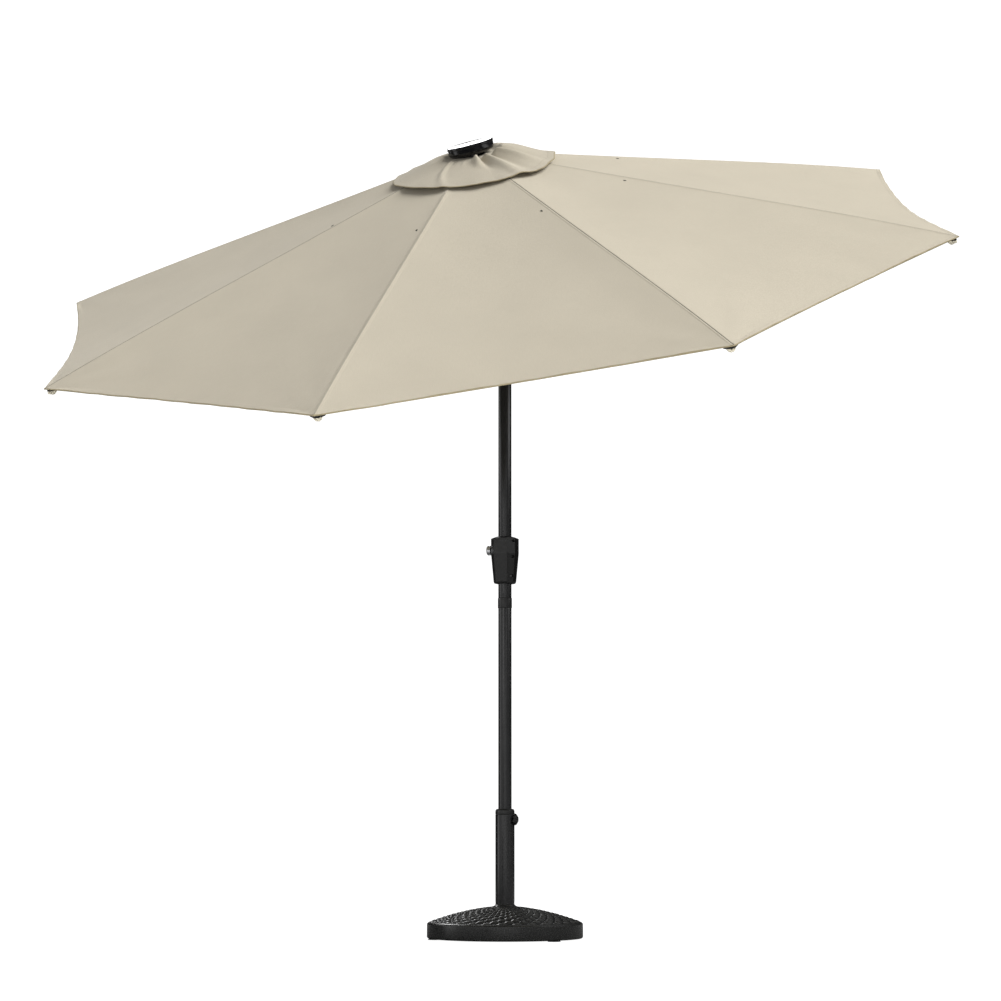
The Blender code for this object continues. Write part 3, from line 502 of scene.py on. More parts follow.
def build_knob():
    """The clamp's six-lobed knob, turned to point along +X."""
    near, far, mean, lobe_height, lobes, steps = 0.0286, 0.0396, 0.0152, 0.0018, 6, 144
    levels = [(0.22, far - 0.0001), (0.42, far - 0.0006), (0.60, far - 0.0016), (0.76, far - 0.0031)]
    levels += [(0.88, far - 0.0049), (0.96, far - 0.0070), (1.0, far - 0.0092), (0.985, near + 0.0005), (0.94, near)]
    bm = bmesh.new()
    rings = []
    for share, height in levels:
        ring = []
        for k in range(steps):
            a = 2 * math.pi * k / steps
            lobe = lobe_height * math.cos(lobes * a) * min(1, share * share * 1.1)
            radius = share * (mean + lobe)
            ring.append(bm.verts.new((radius * math.cos(a), radius * math.sin(a), height)))
        rings.append(ring)
    for first, second in zip(rings, rings[1:]):
        join_rings(bm, first, second)
    top = bm.verts.new((0, 0, far))
    bottom = bm.verts.new((0, 0, near))
    for k in range(steps):
        bm.faces.new((rings[0][k], rings[0][(k + 1) % steps], top))
        bm.faces.new((rings[-1][(k + 1) % steps], rings[-1][k], bottom))
    mesh = bm_mesh("knob_grip", bm, 50)
    add_piece("knob_grip", mesh, "clamp", "plastic", replaces=["clamp_knob"], matrix=CLAMP)


# Pole


def tube(name, body, low, high, replaces, matrix=None):
    outer, inner = 0.019, 0.0175
    outline = rounded([(outer, high), (outer, low), (inner, low), (inner, high)], 0.0005)
    add_piece(name, lathe(name, outline), body, "pole_paint", replaces=replaces, matrix=matrix)


def build_poles():
    low, high = (corner.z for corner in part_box("lower_pole"))
    tube("pole_lower", "pole", low, high, ["lower_pole"])
    band, spigot, bore = 0.0202, 0.0172, 0.0152
    coupler = [(band, 0.967), (band, 0.939), (spigot, 0.939), (spigot, 0.899)]
    coupler += [(bore, 0.899), (bore, 0.999), (spigot, 0.999), (spigot, 0.967)]
    mesh = lathe("pole_band", rounded(coupler, 0.0006))
    add_piece("pole_band", mesh, "pole", "plastic", replaces=["pole_coupler"])
    low, high = (corner.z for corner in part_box("upper_pole"))
    housed_low, housed_high = 1.02, 1.13
    tube("pole_upper_1", "pole", low, housed_low, ["upper_pole"])
    tube("pole_upper_2", "pole", housed_high, high, [])
    mast_low, mast_high = 0.0453, 0.5747
    tube("mast_sleeve", "mast", mast_low, mast_high, ["mast_tube"], MAST)


# Canopy


def hem_points(share):
    """Points of the hem in a rib's frame, for shares from 0, the rib's tip, to 0.5, the middle of the panel."""
    tip = np.array([TIP_RADIUS, 0, TIP_HEIGHT])
    next_tip = np.array([TIP_RADIUS * math.cos(RIB_STEP), TIP_RADIUS * math.sin(RIB_STEP), TIP_HEIGHT])
    inward = np.array([-math.cos(RIB_STEP / 2) * HEM_IN, -math.sin(RIB_STEP / 2) * HEM_IN, -HEM_DROP])
    share = np.asarray(share)[..., None]
    return tip + (next_tip - tip) * share + inward * 4 * share * (1 - share)


def cloth_point(along, share):
    hem = hem_points(share)
    apex = np.array([0, 0, APEX_HEIGHT])
    point = apex + (hem - apex) * along[..., None]
    point[..., 2] = np.minimum(point[..., 2] + BOW * along**3 * (1 - along), FLAT_TOP)
    return point


def share_at(side):
    """The share of the hem whose line from the apex lies this far sideways of the rib, at the hem."""
    curl = 4 * HEM_IN * math.sin(RIB_STEP / 2)
    straight = TIP_RADIUS * math.sin(RIB_STEP) - curl
    return (-straight + np.sqrt(straight**2 + 4 * curl * side)) / (2 * curl)


# The grid's columns and rows: distances from the seam and the hem, and how many more fill the rest
NEAR_SEAM = np.array([0, 0.0007, 0.0014, 0.0022, 0.0032, 0.0045, 0.006, 0.008, 0.0095, 0.011])
ACROSS = 14
BY_HEM = np.array([0, 0.0006, 0.0015, 0.003, 0.0105, 0.0122, 0.0140, 0.020])
DOWN = 46
SEAM_RIDGE = [0.1, 0.4, 0.5, 0.5, 0.4, 0.2, 1.0, 0.0]  # from 0, a seam pulled into a groove, to 1, one that stands up
MIDDLE_REACH = 1.21  # from the axis to the hem's middle, in plan
HEM_FOLD = 0.0112, 0.0135  # how far in from the edge the turned hem's step begins and ends


def canopy_grid():
    """The whole canopy as one ring of columns, eight ribs round, so that neighbouring pieces share their edge and
    its normals. Returns points and the distances that the cloth's material reads, each with rows down the cloth."""
    half = len(NEAR_SEAM) + ACROSS - 1
    widest = 0.45  # how much of half a panel the columns near the seam may take up, by the apex
    mid_side = float(hem_points(0.5)[1])
    panel_length = float(np.linalg.norm(hem_points(0.5) - [0, 0, APEX_HEIGHT]))
    middle = np.array([math.cos(RIB_STEP / 2), math.sin(RIB_STEP / 2)])
    grid = {key: [] for key in ("point", "across", "along", "inset", "run", "grain")}
    for column in range(-half, half):
        k, sign = abs(column), 1 if column >= 0 else -1
        beyond = (k - len(NEAR_SEAM) + 1) / ACROSS
        at_hem = NEAR_SEAM[k] if beyond <= 0 else NEAR_SEAM[-1] + (mid_side - NEAR_SEAM[-1]) * beyond
        share = share_at(np.full(1, at_hem))[0]
        length = float(np.linalg.norm(hem_points(share) - [0, 0, APEX_HEIGHT]))
        last = 1 - BY_HEM[-1] / length
        t = np.linspace(0, 1, DOWN + 1)[:-1]
        rows = np.concatenate([INNER_EDGE + (last - INNER_EDGE) * t**1.15, 1 - BY_HEM[::-1] / length])
        if beyond <= 0:
            side = np.minimum(NEAR_SEAM[k] / rows, widest * mid_side * (k + 1) / len(NEAR_SEAM))
        else:
            near = np.minimum(NEAR_SEAM[-1] / rows, widest * mid_side)
            side = near + (mid_side - near) * beyond
        point = cloth_point(rows, share_at(side))
        grid["across"].append(point[:, 1] * sign)
        grid["along"].append(rows * RIB_LENGTH)
        grid["inset"].append((1 - rows) * length)
        out_along = point[:, :2] @ middle
        from_middle = (point[:, 0] * middle[1] - point[:, 1] * middle[0]) * sign
        grid["run"].append(from_middle)
        grid["grain"].append(np.stack([from_middle, out_along * panel_length / MIDDLE_REACH, 0 * rows], axis=-1))
        point[:, 1] *= sign
        grid["point"].append(point)
    stacked = {key: np.stack(value, axis=1) for key, value in grid.items()}
    columns = []
    for rib in range(RIBS):
        a = rib * RIB_STEP
        turn = np.array([[math.cos(a), math.sin(a), 0], [-math.sin(a), math.cos(a), 0], [0, 0, 1]])
        columns.append(stacked["point"] @ turn)
    ring = {key: np.concatenate([stacked[key]] * RIBS, axis=1) for key in grid if key != "point"}
    ring["point"] = np.concatenate(columns, axis=1)
    ring["ridge"] = np.broadcast_to(np.repeat(SEAM_RIDGE, 2 * half), ring["across"].shape)
    return ring, 2 * half


def grid_normals(points):
    """Normals of a grid of points whose columns close into a ring, facing up."""
    around = np.roll(points, -1, axis=1) - np.roll(points, 1, axis=1)
    down = np.gradient(points, axis=0)
    normal = np.cross(down, around)
    normal /= np.maximum(np.linalg.norm(normal, axis=-1, keepdims=True), 1e-12)
    return normal * np.sign(normal[..., 2:3].mean())


def soft_waves(points, waves, seed):
    """A smooth, repeatable unevenness: (wavelength, height) pairs, each along several directions."""
    random = np.random.default_rng(seed)
    total = np.zeros(points.shape[:-1])
    for wavelength, height in waves:
        for _ in range(4):
            direction = random.normal(size=3)
            direction /= np.linalg.norm(direction)
            phase = random.uniform(0, 2 * math.pi)
            total += height * np.sin(points @ direction * (2 * math.pi / wavelength) + phase)
    return total


def canopy_relief(ring):
    """How far the cloth's outer face stands from its plain surface: the seam's groove or crest and its welt, the
    turned hem, pulls that fan out from the rib tips, slack, and a flutter along the hem."""
    across, inset, along, ridge = ring["across"], ring["inset"], ring["along"], ring["ridge"]
    distance = np.abs(across)
    groove = -0.0013 * (1 - ridge) * np.exp(-((distance / 0.0016) ** 2))
    crest = 0.0019 * ridge * np.exp(-((distance / 0.0075) ** 2))
    welt = 0.0008 * (1 - ridge) * np.exp(-(((distance - 0.0042) / 0.0022) ** 2)) * np.where(across > 0, 0.15, 1.0)
    hem = 0.0005 * (1 - smoothstep(*HEM_FOLD, inset)) - 0.0006 * (1 - smoothstep(0, 0.0014, inset))
    from_tip = along.max() - along
    tip_away = np.hypot(distance, np.maximum(from_tip, 0))
    fan = np.arctan2(distance, np.maximum(from_tip, 1e-6))
    pulls = 0.0022 * np.sin(fan * 8.5 + 0.6) * np.exp(-tip_away / 0.16) * smoothstep(0.006, 0.05, distance)
    slack = soft_waves(ring["point"], [(0.62, 0.0007), (0.31, 0.00035), (0.15, 0.00014)], 11)
    slack *= smoothstep(0.004, 0.10, distance)
    flutter = 0.0009 * np.sin(ring["run"] * 2 * math.pi / 0.105 + 1.3) * np.exp(-inset / 0.035)
    flutter *= smoothstep(0.02, 0.12, distance)
    return groove + crest + welt + hem + pulls + slack + flutter


def split_mesh(name, outer, inner, outer_normal, inner_normal, attributes):
    """A closed piece of cloth from two grids of points, with the given normals on its faces and flat rims."""
    rows, columns = outer.shape[:2]
    number = np.arange(rows * columns).reshape(rows, columns)
    back = number + rows * columns
    quads = []

    def strip(a, b):
        for k in range(len(a) - 1):
            quads.append((a[k], a[k + 1], b[k + 1], b[k]))

    for i in range(rows - 1):
        strip(number[i], number[i + 1])
        strip(back[i + 1], back[i])
    first_rim = len(quads)
    strip(number[-1], back[-1])
    strip(back[0], number[0])
    strip(back[:, -1], number[:, -1])
    strip(number[:, 0], back[:, 0])
    points = np.concatenate([outer.reshape(-1, 3), inner.reshape(-1, 3)])
    quads = np.array(quads)
    first = quads[0]
    flat = np.cross(points[first[1]] - points[first[0]], points[first[2]] - points[first[0]])
    if flat @ outer_normal.reshape(-1, 3)[first[0]] < 0:
        quads = quads[:, ::-1]
    mesh = bpy.data.meshes.new(name)
    mesh.from_pydata(points.tolist(), [], quads.tolist())
    mesh.shade_smooth()
    vertex_normal = np.concatenate([outer_normal.reshape(-1, 3), inner_normal.reshape(-1, 3)])
    normals = vertex_normal[quads].copy()
    for i in range(first_rim, len(quads)):
        q = points[quads[i]]
        face = np.cross(q[2] - q[0], q[3] - q[1])
        normals[i] = face / max(np.linalg.norm(face), 1e-12)
    mesh.normals_split_custom_set(normals.reshape(-1, 3).tolist())
    for key, values in attributes.items():
        flat = values.reshape(-1, 3)
        set_attribute(mesh, key, np.concatenate([flat, flat]))
    return mesh


def build_canopy():
    ring, per_rib = canopy_grid()
    plain = ring["point"]
    normal = grid_normals(plain)
    relief = canopy_relief(ring)[..., None]
    outer = plain + normal * relief
    hem_fold = 0.0010 * (1 - smoothstep(*HEM_FOLD, ring["inset"]))[..., None]
    inner = plain + normal * (np.minimum(relief, 0.0004) - CLOTH - hem_fold)
    outer_normal = grid_normals(outer)
    inner_normal = -grid_normals(inner)
    zero = np.zeros_like(ring["across"])
    facts = {
        # the seam's third value: how strong the painted shade in its crease is, strongest where the seam is a groove
        "seam": np.stack([ring["across"], ring["along"], 1.0 - 0.75 * ring["ridge"]], axis=-1),
        "hem": np.stack([ring["inset"], ring["run"], zero], axis=-1),
        "grain": ring["grain"],
    }
    total = plain.shape[1]
    for rib in range(RIBS):
        columns = (np.arange(per_rib + 1) + rib * per_rib) % total
        arrays = [a[:, columns] for a in (outer, inner, outer_normal, inner_normal)]
        chosen = {key: value[:, columns].copy() for key, value in facts.items()}
        for key, axis in (("seam", 0), ("hem", 1), ("grain", 0)):
            chosen[key][:, -1, axis] *= -1  # the last column is the next piece's first, which counts from its own rib
        name = f"canopy_panel_{rib + 1}"
        mesh = split_mesh(name, *arrays, chosen)
        body = f"rib_{rib + 1}"
        pieces = [build_pocket(rib), build_tack(rib), build_rib_cap(rib)]
        panel = add_piece(name, mesh, body, "canopy_cloth", replaces=[f"canopy_gore_{rib + 1}"], matrix=MAST)
        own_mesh(panel)


def rib_matrix(rib):
    return MAST @ Matrix.Rotation(rib * RIB_STEP, 4, "Z")


def under_cloth(inward, below, side):
    """A point this far in from the canopy's corner or hem along the rib, and this far below the cloth, in the rib's
    frame. The hem recedes and the cloth falls away to the rib's sides."""
    hem_recedes, cloth_falls = 0.577, 0.2014
    inward += hem_recedes * abs(side)
    radius = TIP_RADIUS - inward * math.cos(SLOPE) - below * math.sin(SLOPE)
    height = TIP_HEIGHT + inward * math.sin(SLOPE) - below * math.cos(SLOPE) - cloth_falls * abs(side)
    along = 1 - inward / RIB_LENGTH
    return Vector((radius, side, height + BOW * along**3 * (1 - along)))


def cloth_patch(bm, point, rows, columns):
    """A closed piece of cloth from point(row, column, layer), where layer is 0 outside and 1 inside."""
    layers = [
        [[bm.verts.new(point(i, j, layer)) for j in range(columns + 1)] for i in range(rows + 1)] for layer in (0, 1)
    ]
    outside, inside = layers
    for i in range(rows):
        for j in range(columns):
            bm.faces.new((outside[i][j], outside[i][j + 1], outside[i + 1][j + 1], outside[i + 1][j]))
            bm.faces.new((inside[i][j], inside[i + 1][j], inside[i + 1][j + 1], inside[i][j + 1]))
    for i in (0, rows):
        for j in range(columns):
            bm.faces.new((outside[i][j], inside[i][j], inside[i][j + 1], outside[i][j + 1]))
    for j in (0, columns):
        for i in range(rows):
            bm.faces.new((outside[i][j], outside[i + 1][j], inside[i + 1][j], inside[i][j]))


def build_pocket(rib):
    """The pouch of cloth under the canopy's corner that the rib's end sits in: a sling, closed at its outer end by a
    wall that stops short of the canopy."""
    half_width, shallow, depth, thick, gap = 0.0120, 0.0200, 0.0275, 0.0011, 0.0112
    start, length, sewn, wall_at = 0.0068, 0.036, 0.0016, 0.0064
    sling_rows, sling_columns, wall_rows, wall_columns = 10, 28, 5, 20

    def half_across(a):
        return half_width * (1 - 0.12 * math.sin(a) ** 2)

    def sling(i, j, layer):
        a = math.pi * j / sling_columns
        side = -math.cos(a) * (half_across(a) - layer * thick)
        lowest = shallow + (depth - shallow) * math.sin(math.pi * min(1, i / 6)) ** 1.2
        below = sewn + (lowest - sewn - layer * thick) * math.sin(a) ** 0.8
        return under_cloth(start + length * i / sling_rows, below, side)

    def wall(i, j, layer):
        a = math.pi * (0.09 + 0.82 * j / wall_columns)
        lowest = sewn + (shallow - sewn) * math.sin(a) ** 0.8
        highest = min(gap + 0.0012 * math.cos(2 * a), lowest - 0.001)
        below = lowest + (highest - lowest) * i / wall_rows
        bulge = 0.0026 * math.sin(math.pi * min(1, i / wall_rows + 0.15)) * math.sin(a)
        return under_cloth(wall_at - bulge + layer * thick, below, -math.cos(a) * half_across(a))

    bm = bmesh.new()
    cloth_patch(bm, sling, sling_rows, sling_columns)
    cloth_patch(bm, wall, wall_rows, wall_columns)
    mesh = bm_mesh(f"tip_pocket_{rib + 1}", bm, 60)
    points = vertex_array(mesh)
    set_attribute(mesh, "grain", np.stack([points[:, 1] + points[:, 2], points[:, 0], 0 * points[:, 0]], axis=-1))
    return add_piece(mesh.name, mesh, f"rib_{rib + 1}", "patch_cloth", matrix=rib_matrix(rib))


def build_rib_cap(rib):
    """The moulded cap on the rib's end, a flat lens close under the cloth. Its dark plastic, seen through the pouch's
    mouth, also stands in for the shade inside the pouch.
    """
    half_width, top, bottom, steps = 0.0215, 0.0021, 0.0118, 40
    bm = bmesh.new()
    rings = []
    for inward, size in ((0.0050, 0.72), (0.0056, 0.90), (0.0068, 1.0), (0.0200, 1.0), (0.0330, 0.94), (0.0338, 0.85)):
        ring = []
        for k in range(steps):
            a = 2 * math.pi * k / steps
            side = math.cos(a) * half_width * size
            below = (top + bottom) / 2 + math.sin(a) * (bottom - top) / 2 * size
            ring.append(bm.verts.new(under_cloth(inward, below, side)))
        rings.append(ring)
    for first, second in zip(rings, rings[1:]):
        join_rings(bm, first, second)
    bm.faces.new(rings[0])
    bm.faces.new(rings[-1])
    mesh = bm_mesh(f"rib_cap_{rib + 1}", bm, 50)
    return add_piece(mesh.name, mesh, f"rib_{rib + 1}", "plastic", matrix=rib_matrix(rib))


def build_tack(rib):
    """A small dark bar tack beside the seam, where an inner tie is sewn on."""
    along, to_side, raised = 0.34, 0.0245, 0.0006
    half_long, half_wide, proud, steps = 0.0048, 0.0030, 0.0009, 10
    spot = cloth_point(np.array([along]), share_at(np.array([to_side / along])))[0]
    centre = Vector((spot[0], -spot[1], spot[2] + raised))
    turns = [math.pi * k / steps for k in range(steps + 1)]
    outline = [(half_long * math.sin(a), proud * math.cos(a)) for a in turns]
    mesh = lathe(f"bar_tack_{rib + 1}", outline, 2 * steps, 60, half_wide / half_long)
    place = rib_matrix(rib) @ Matrix.Translation(centre) @ Matrix.Rotation(SLOPE, 4, "Y")
    return add_piece(mesh.name, mesh, f"rib_{rib + 1}", "rubber", matrix=place)


# Vent cap


# How far the hem stands above its plain line: turn in degrees, height in mm
HEM_LIFT = [
    (-180, -3),
    (-168, -4),
    (-150, -1),
    (-135, 2),
    (-120, 4),
    (-105, 4),
    (-95, 3),
    (-86, 1),
    (-77, -1),
    (-64, 1.5),
    (-55, -1.5),
    (-47, 2.5),
    (-34, -1),
    (-22, -1.5),
    (-10, -2),
    (-3, -1),
    (13, 8),
    (30, 6),
    (50, -2),
    (70, 2),
    (90, 10),
    (110, 4),
    (130, 8),
    (150, 3),
    (165, -2),
]
# How far the cloth stands up round the light: turn in degrees, height in mm
PUFF = [
    (-180, 9),
    (-168, 10),
    (-155, 7),
    (-140, 3.5),
    (-120, 1.5),
    (-100, 1),
    (-85, 1),
    (-74, 1.5),
    (-62, 2),
    (-52, 3),
    (-42, 5),
    (-28, 9),
    (-18, 12),
    (-8, 16),
    (5, 20),
    (16, 22),
    (30, 20),
    (45, 18),
    (60, 17),
    (75, 15),
    (90, 16),
    (110, 13),
    (130, 12),
    (150, 8),
    (165, 8),
]
# Gathers: turn at the light, turn at the hem, height in mm, half-width in degrees, where it fades out
GATHERS = [
    (-155, -150, 2.0, 5, 0.15),
    (-118, -93, 5.0, 4, 0.30),
    (-101, -96, 1.2, 3, 0.12),
    (-88, -84, 1.8, 4, 0.13),
    (-63, -59, 18.0, 7, 0.15),
    (-53, -51, -7.0, 4, 0.18),
    (-42, -36, 13.0, 6, 0.30),
    (-28, -22, -6.0, 5, 0.27),
    (-13, -5, 12.0, 6, 0.27),
    (2, 5, -5.0, 5, 0.24),
    (14, 16, 3.5, 6, 0.16),
    (32, 36, 4.5, 7, 0.22),
    (55, 50, 4.0, 7, 0.18),
    (76, 80, 5.0, 8, 0.25),
    (99, 96, 4.0, 7, 0.17),
    (120, 124, 5.0, 8, 0.24),
    (141, 138, 3.5, 6, 0.16),
    (162, 166, 4.0, 7, 0.20),
    (181, 184, 3.0, 6, 0.15),
]


def round_curve(pairs, angle):
    """A smooth curve through (degrees, value) pairs, all the way round."""
    at, value = (np.array(column, float) for column in zip(*pairs))
    at, value = np.concatenate([at - 360, at, at + 360]), np.tile(value, 3)
    fine = np.arange(-360, 360, 0.5)
    line = np.interp(fine, at, value)
    kernel = np.hanning(15)
    smooth = np.convolve(line, kernel / kernel.sum(), "same")
    return np.interp(np.degrees(angle), fine, smooth)


def build_vent():
    """The small upper canopy: gathered under the light, puffed out on its raised side, then loose to a wavy hem."""
    steps, rows, inner_radius, outer_radius = 480, 66, 0.040, 0.2365
    flat_height, brim, fall = 0.6138, 0.0555, 0.2330
    near_light, full = 0.08, 0.235  # the radii between which a gather turns, and where the hem has its full wave
    t = np.linspace(0, 1, rows)
    radii = inner_radius + (outer_radius - inner_radius) * t**1.05
    radii = np.concatenate([radii[:-1], outer_radius - np.array([0.0034, 0.0022, 0.0012, 0.0005, 0.0])])
    radii.sort()
    angle = np.arange(steps) * 2 * math.pi / steps - math.pi
    r, a = np.meshgrid(radii, angle, indexing="ij")
    z = flat_height - fall * np.maximum(r - brim, 0)
    rise = smoothstep(0.060, 0.092, r)
    z += 0.001 * round_curve(PUFF, a) * rise * (1 - 0.92 * smoothstep(0.112, 0.225, r))
    turn = np.degrees(a)
    for start, stop, height, width, fade in GATHERS:
        centre = start + (stop - start) * np.clip((r - near_light) / (full - near_light), 0, 1)
        away = (turn - centre + 180) % 360 - 180
        reach = smoothstep(0.062, 0.085, r) * (1 - smoothstep(0.55 * fade, fade, r))
        z += 0.001 * height * reach * np.exp(-((away / width) ** 2))
    z += 0.001 * round_curve(HEM_LIFT, a) * smoothstep(0.13, full, r)
    z += 0.0007 * np.cos(17 * a + 0.4) * smoothstep(0.16, full, r) * np.cos(3 * a)
    drawn_in = np.abs(0.0025 * np.cos(7 * a + 1.1) + 0.0015 * np.cos(12 * a))
    shown = r - drawn_in * smoothstep(0.18, full, r)
    point = np.stack([shown * np.cos(a), shown * np.sin(a), z], axis=-1)
    inset = outer_radius - r
    folded = 1 - smoothstep(0.0195, 0.0215, inset)
    normal = grid_normals(point)
    outer = point + normal * (0.0004 * folded - 0.0005 * (1 - smoothstep(0, 0.0012, inset)))[..., None]
    inner = point - normal * (0.0010 + 0.0006 * folded)[..., None]
    count, wide = r.shape
    number = np.arange(count * wide).reshape(count, wide)
    back = number + count * wide
    faces = []
    for k in range(wide):
        m = (k + 1) % wide
        for i in range(count - 1):
            faces.append((number[i, k], number[i + 1, k], number[i + 1, m], number[i, m]))
            faces.append((back[i, m], back[i + 1, m], back[i + 1, k], back[i, k]))
        faces.append((number[-1, k], back[-1, k], back[-1, m], number[-1, m]))
        faces.append((back[0, k], number[0, k], number[0, m], back[0, m]))
    mesh = bpy.data.meshes.new("vent_cap_cloth")
    points = np.concatenate([outer.reshape(-1, 3), inner.reshape(-1, 3)])
    mesh.from_pydata(points.tolist(), [], [tuple(int(v) for v in f) for f in faces])
    mesh.shade_smooth()
    mesh.set_sharp_from_angle(angle=math.radians(65))
    zero, no_seam = np.zeros_like(r), 0.05
    for key, axes in (
        ("seam", (zero + no_seam, r, zero)),
        ("hem", (inset, r * a, zero)),
        ("grain", (r * np.cos(a), r * np.sin(a), zero)),
    ):
        flat = np.stack(axes, axis=-1).reshape(-1, 3)
        set_attribute(mesh, key, np.concatenate([flat, flat]))
    cap = add_piece("vent_cap_cloth", mesh, "mast", "vent_cloth", ["vent_cap"], MAST)


# Light


def leaning(azimuth, turn):
    """A turn about the level axis with this azimuth, both in degrees."""
    a = math.radians(azimuth)
    return Matrix.Rotation(math.radians(turn), 4, Vector((math.cos(a), math.sin(a), 0)))


def build_light():
    """The solar light, which sits a little askew on its stud."""
    underside, seat = 0.6145, 0.6155
    askew = leaning(-70, 5.5) @ leaning(20, -5)
    askew = MAST @ Matrix.Translation((0, 0, seat)) @ askew @ Matrix.Translation((0, 0, -underside))
    bowl = [
        (0, underside),
        (0.0520, underside),
        (0.0590, 0.6165),
        (0.0640, 0.6205),
        (0.0660, 0.6260),
        (0.0668, 0.6368),
        (0.0662, 0.6372),
        (0.0662, 0.6380),
        (0.0675, 0.6386),
        (0.0675, 0.6450),
        (0.0640, 0.6450),
        (0.0636, 0.6440),
        (0.0636, 0.6422),
        (0, 0.6422),
    ]
    mesh = lathe("light_bowl", rounded(bowl, 0.0012), 160, 30)
    add_piece("light_bowl", mesh, "mast", "light_shell", replaces=["solar_housing"], matrix=askew)
    panel = [(0, 0.6446), (0.0600, 0.6446), (0.0634, 0.6444), (0.0634, 0.6424), (0, 0.6424)]
    mesh = lathe("light_glass", rounded(panel, 0.0004), 160, 30)
    points, cells_end = vertex_array(mesh), 0.0595
    set_attribute(mesh, "panel", points)
    set_attribute(mesh, "cell", (np.hypot(points[:, 0], points[:, 1]) < cells_end).astype(float))
    add_piece("light_glass", mesh, "mast", "solar_cell", replaces=["solar_panel"], matrix=askew)


# The CAD's own nodes that still show


BEVELS = {"housing_body": 0.0016, "housing_cover": 0.0016}


def finish_cad_nodes():
    for name, node in frame["nodes"].items():
        if node.hide_render:
            continue
        material = MATERIALS[SLOT_OF[name]]
        for slot in node.material_slots:
            slot.material = material
        if not node.material_slots:
            node.data.materials.append(material)
    for name, width in BEVELS.items():
        node = frame["nodes"][name]
        weld = node.modifiers.new("Weld", "WELD")
        weld.merge_threshold = 0.00001
        bevel = node.modifiers.new("Edges", "BEVEL")
        bevel.width = width
        bevel.segments = 3
        bevel.limit_method = "ANGLE"
        bevel.angle_limit = math.radians(28)
        bevel.harden_normals = False
        node.modifiers.new("Normals", "WEIGHTED_NORMAL").keep_sharp = True


# Setting


VIEW_TURN = math.radians(20.35)  # the camera stands this far round from -Y, towards +X
VIEW_RISE = math.radians(6.71)  # and looks up by this much
MIDDLE = (0, 0, 1.2)  # of the umbrella, where most lights point
LIGHT_PLACE = (0, -0.28, 2.24)  # of the solar light, roughly
KEY_STRENGTH, KEY_TOWARDS = 3.9, (-0.643, 0, -0.766)


def aim(obj, direction):
    obj.rotation_mode = "QUATERNION"
    obj.rotation_quaternion = Vector(direction).to_track_quat("-Z", "Y")


def softbox(name, at, target, size, power):
    light = bpy.data.lights.new(name, "AREA")
    light.shape = "RECTANGLE"
    light.size, light.size_y = size
    light.energy = power
    obj = new_object(name, light)
    obj.location = at
    aim(obj, Vector(target) - at)
    obj.visible_camera = False
    return obj


def by_view(azimuth, elevation, distance, centre=MIDDLE):
    """A place round the umbrella: azimuth 0 is the camera's side and 90 the right of the view."""
    a, e = math.radians(azimuth) + VIEW_TURN, math.radians(elevation)
    offset = Vector((math.sin(a) * math.cos(e), -math.cos(a) * math.cos(e), math.sin(e))) * distance
    return Vector(centre) + offset


def build_floor():
    """Pale paper that looks white to the camera and gives back less light than it would if it were white."""
    bm = bmesh.new()
    bmesh.ops.create_circle(bm, cap_ends=True, segments=96, radius=3.0)
    mesh = bpy.data.meshes.new("floor")
    bm.to_mesh(mesh)
    bm.free()
    floor = new_object("floor", mesh)
    floor.location.z = -0.0002
    n = Nodes("floor_paper", (0.22, 0.22, 0.22), 0.9, Specular_IOR_Level=0.0)
    seen = n.add("LightPath").outputs["Is Camera Ray"]
    n.shader.inputs["Emission Color"].default_value = (1, 1, 1, 1)
    reach = n.add("VectorMath", {0: n.place()}, operation="LENGTH").outputs["Value"]
    # painted shade: the paper is darker near the base, a contact shadow that gives the base less light back
    tone = n.blend(n.ramp(reach, 0.5, 1.8), (0.12, 0.12, 0.12), (0.30, 0.30, 0.30))
    n.tree.links.new(n.math("MULTIPLY", seen, 0.98), n.shader.inputs["Emission Strength"])
    mesh.materials.append(n.finish(tone))


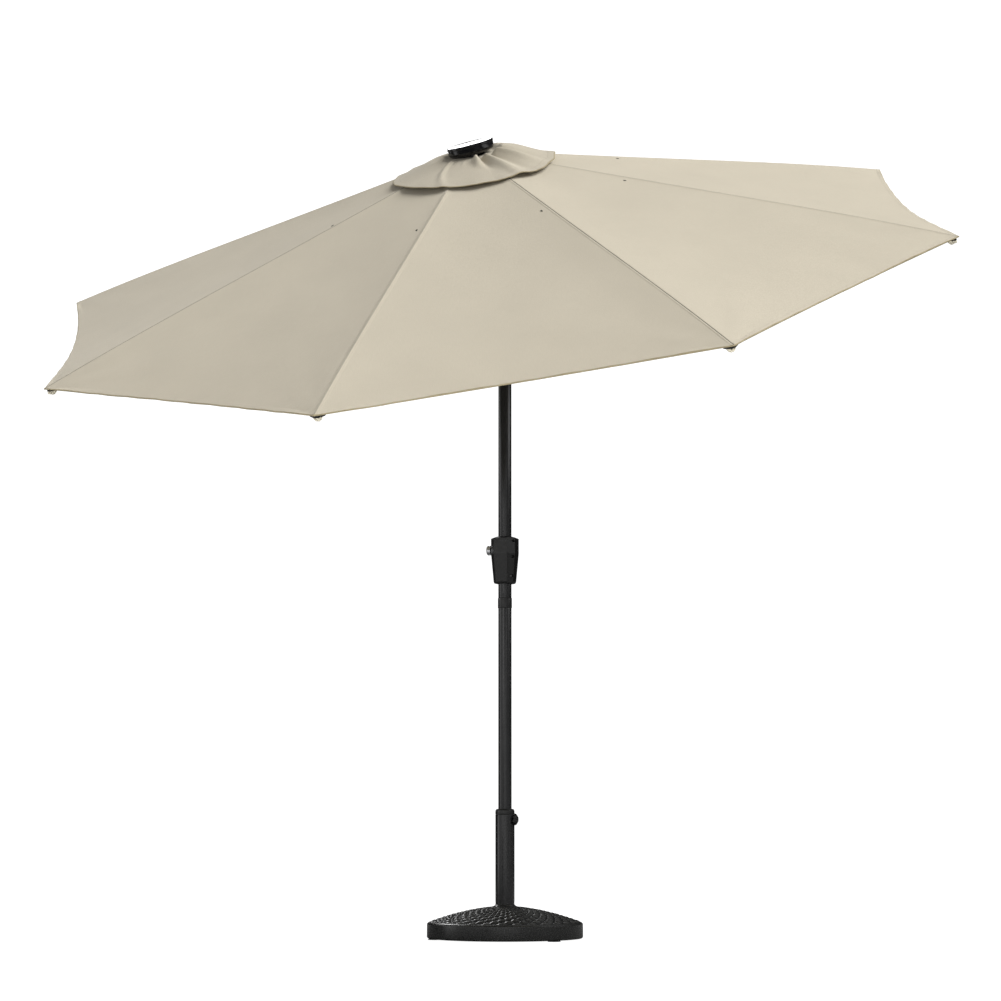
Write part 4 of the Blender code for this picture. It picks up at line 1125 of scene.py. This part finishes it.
def build_sky():
    """A dim studio, brighter upwards, with a dark flag behind the umbrella. It looks white to the camera."""
    world = bpy.data.worlds.new("studio")
    bpy.context.scene.world = world
    world.use_nodes = True
    n = Tree(world.node_tree)
    towards = n.add("TexCoord").outputs["Generated"]
    behind = (-math.sin(VIEW_TURN), math.cos(VIEW_TURN), 0)
    height = n.add("SeparateXYZ", {0: towards}).outputs["Z"]
    facing = n.add("VectorMath", {0: towards, 1: behind}, operation="DOT_PRODUCT").outputs["Value"]
    sides = n.ramp(facing, 0.2, 0.7, 0, 1, True)
    flag = n.math("MULTIPLY", sides, n.ramp(height, 0.50, 0.85, 1, 0, True))
    sky = n.ramp(height, -0.1, 0.9, 0.10, 0.31, True)
    dim = n.math("MULTIPLY", sky, n.ramp(flag, 0, 1, 1, 0.12, True))
    seen = n.add("LightPath").outputs["Is Camera Ray"]
    background = n.tree.nodes["Background"]
    n.tree.links.new(n.ramp(seen, 0, 1, dim, 1.15), background.inputs["Strength"])
    background.inputs["Color"].default_value = (1, 1, 1, 1)


def build_lights():
    sun = bpy.data.lights.new("key", "SUN")
    sun.energy, sun.angle = KEY_STRENGTH, math.radians(50)
    key = new_object("key", sun)
    aim(key, KEY_TOWARDS)
    key.visible_glossy = False
    # Softboxes round the umbrella: azimuth, height, distance, size and radiance
    for name, azimuth, height, distance, size, radiance in (
        ("front", 0, 0.70, 6.5, (4.7, 1.7), 0.85),
        ("front_top", 0, 2.10, 6.5, (3.0, 1.1), 0.5),
        ("front_left", -27, 1.95, 6.5, (2.3, 1.5), 2.0),
        ("front_right", 27, 2.25, 6.5, (2.0, 1.1), 1.1),
        ("side_left", -54, 1.20, 5.0, (3.8, 2.6), 0.55),
        ("left", -86, 1.20, 4.2, (1.5, 2.6), 1.5),
        ("left_edge", -113, 2.10, 4.2, (1.7, 1.0), 1.5),
        ("side_right", 46, 0.60, 4.2, (4.0, 1.5), 0.22),
        ("right", 77, 2.25, 4.2, (3.2, 0.8), 2.2),
    ):
        power = math.pi * size[0] * size[1] * radiance
        softbox(name, by_view(azimuth, 0, distance, (0, 0, height)), MIDDLE, size, power)
    softbox("back", by_view(-154, 25, 5.0), MIDDLE, (1.7, 1.0), 42)
    softbox("glint", by_view(-176, 24, 5.0, LIGHT_PLACE), LIGHT_PLACE, (0.9, 0.45), 4)
    under = softbox("under", by_view(0, 0, 1.9, (0, 0, 0.05)), (0, -0.5, 1.6), (3.2, 0.9), 40)
    under.visible_glossy = False


def build_camera():
    lens = bpy.data.cameras.new("camera")
    lens.lens, lens.sensor_width = 94.14, 36.0
    lens.clip_start, lens.clip_end = 0.1, 200.0
    camera = new_object("camera", lens)
    camera.location = (2.598, -7.041, 0.367)
    camera.rotation_euler = (math.radians(90) + VIEW_RISE, 0, VIEW_TURN)
    bpy.context.scene.camera = camera
    bpy.context.scene.view_settings.view_transform = "Standard"


build_base()
build_knob()
build_poles()
build_canopy()
build_vent()
build_light()
finish_cad_nodes()
build_floor()
build_sky()
build_lights()
build_camera()
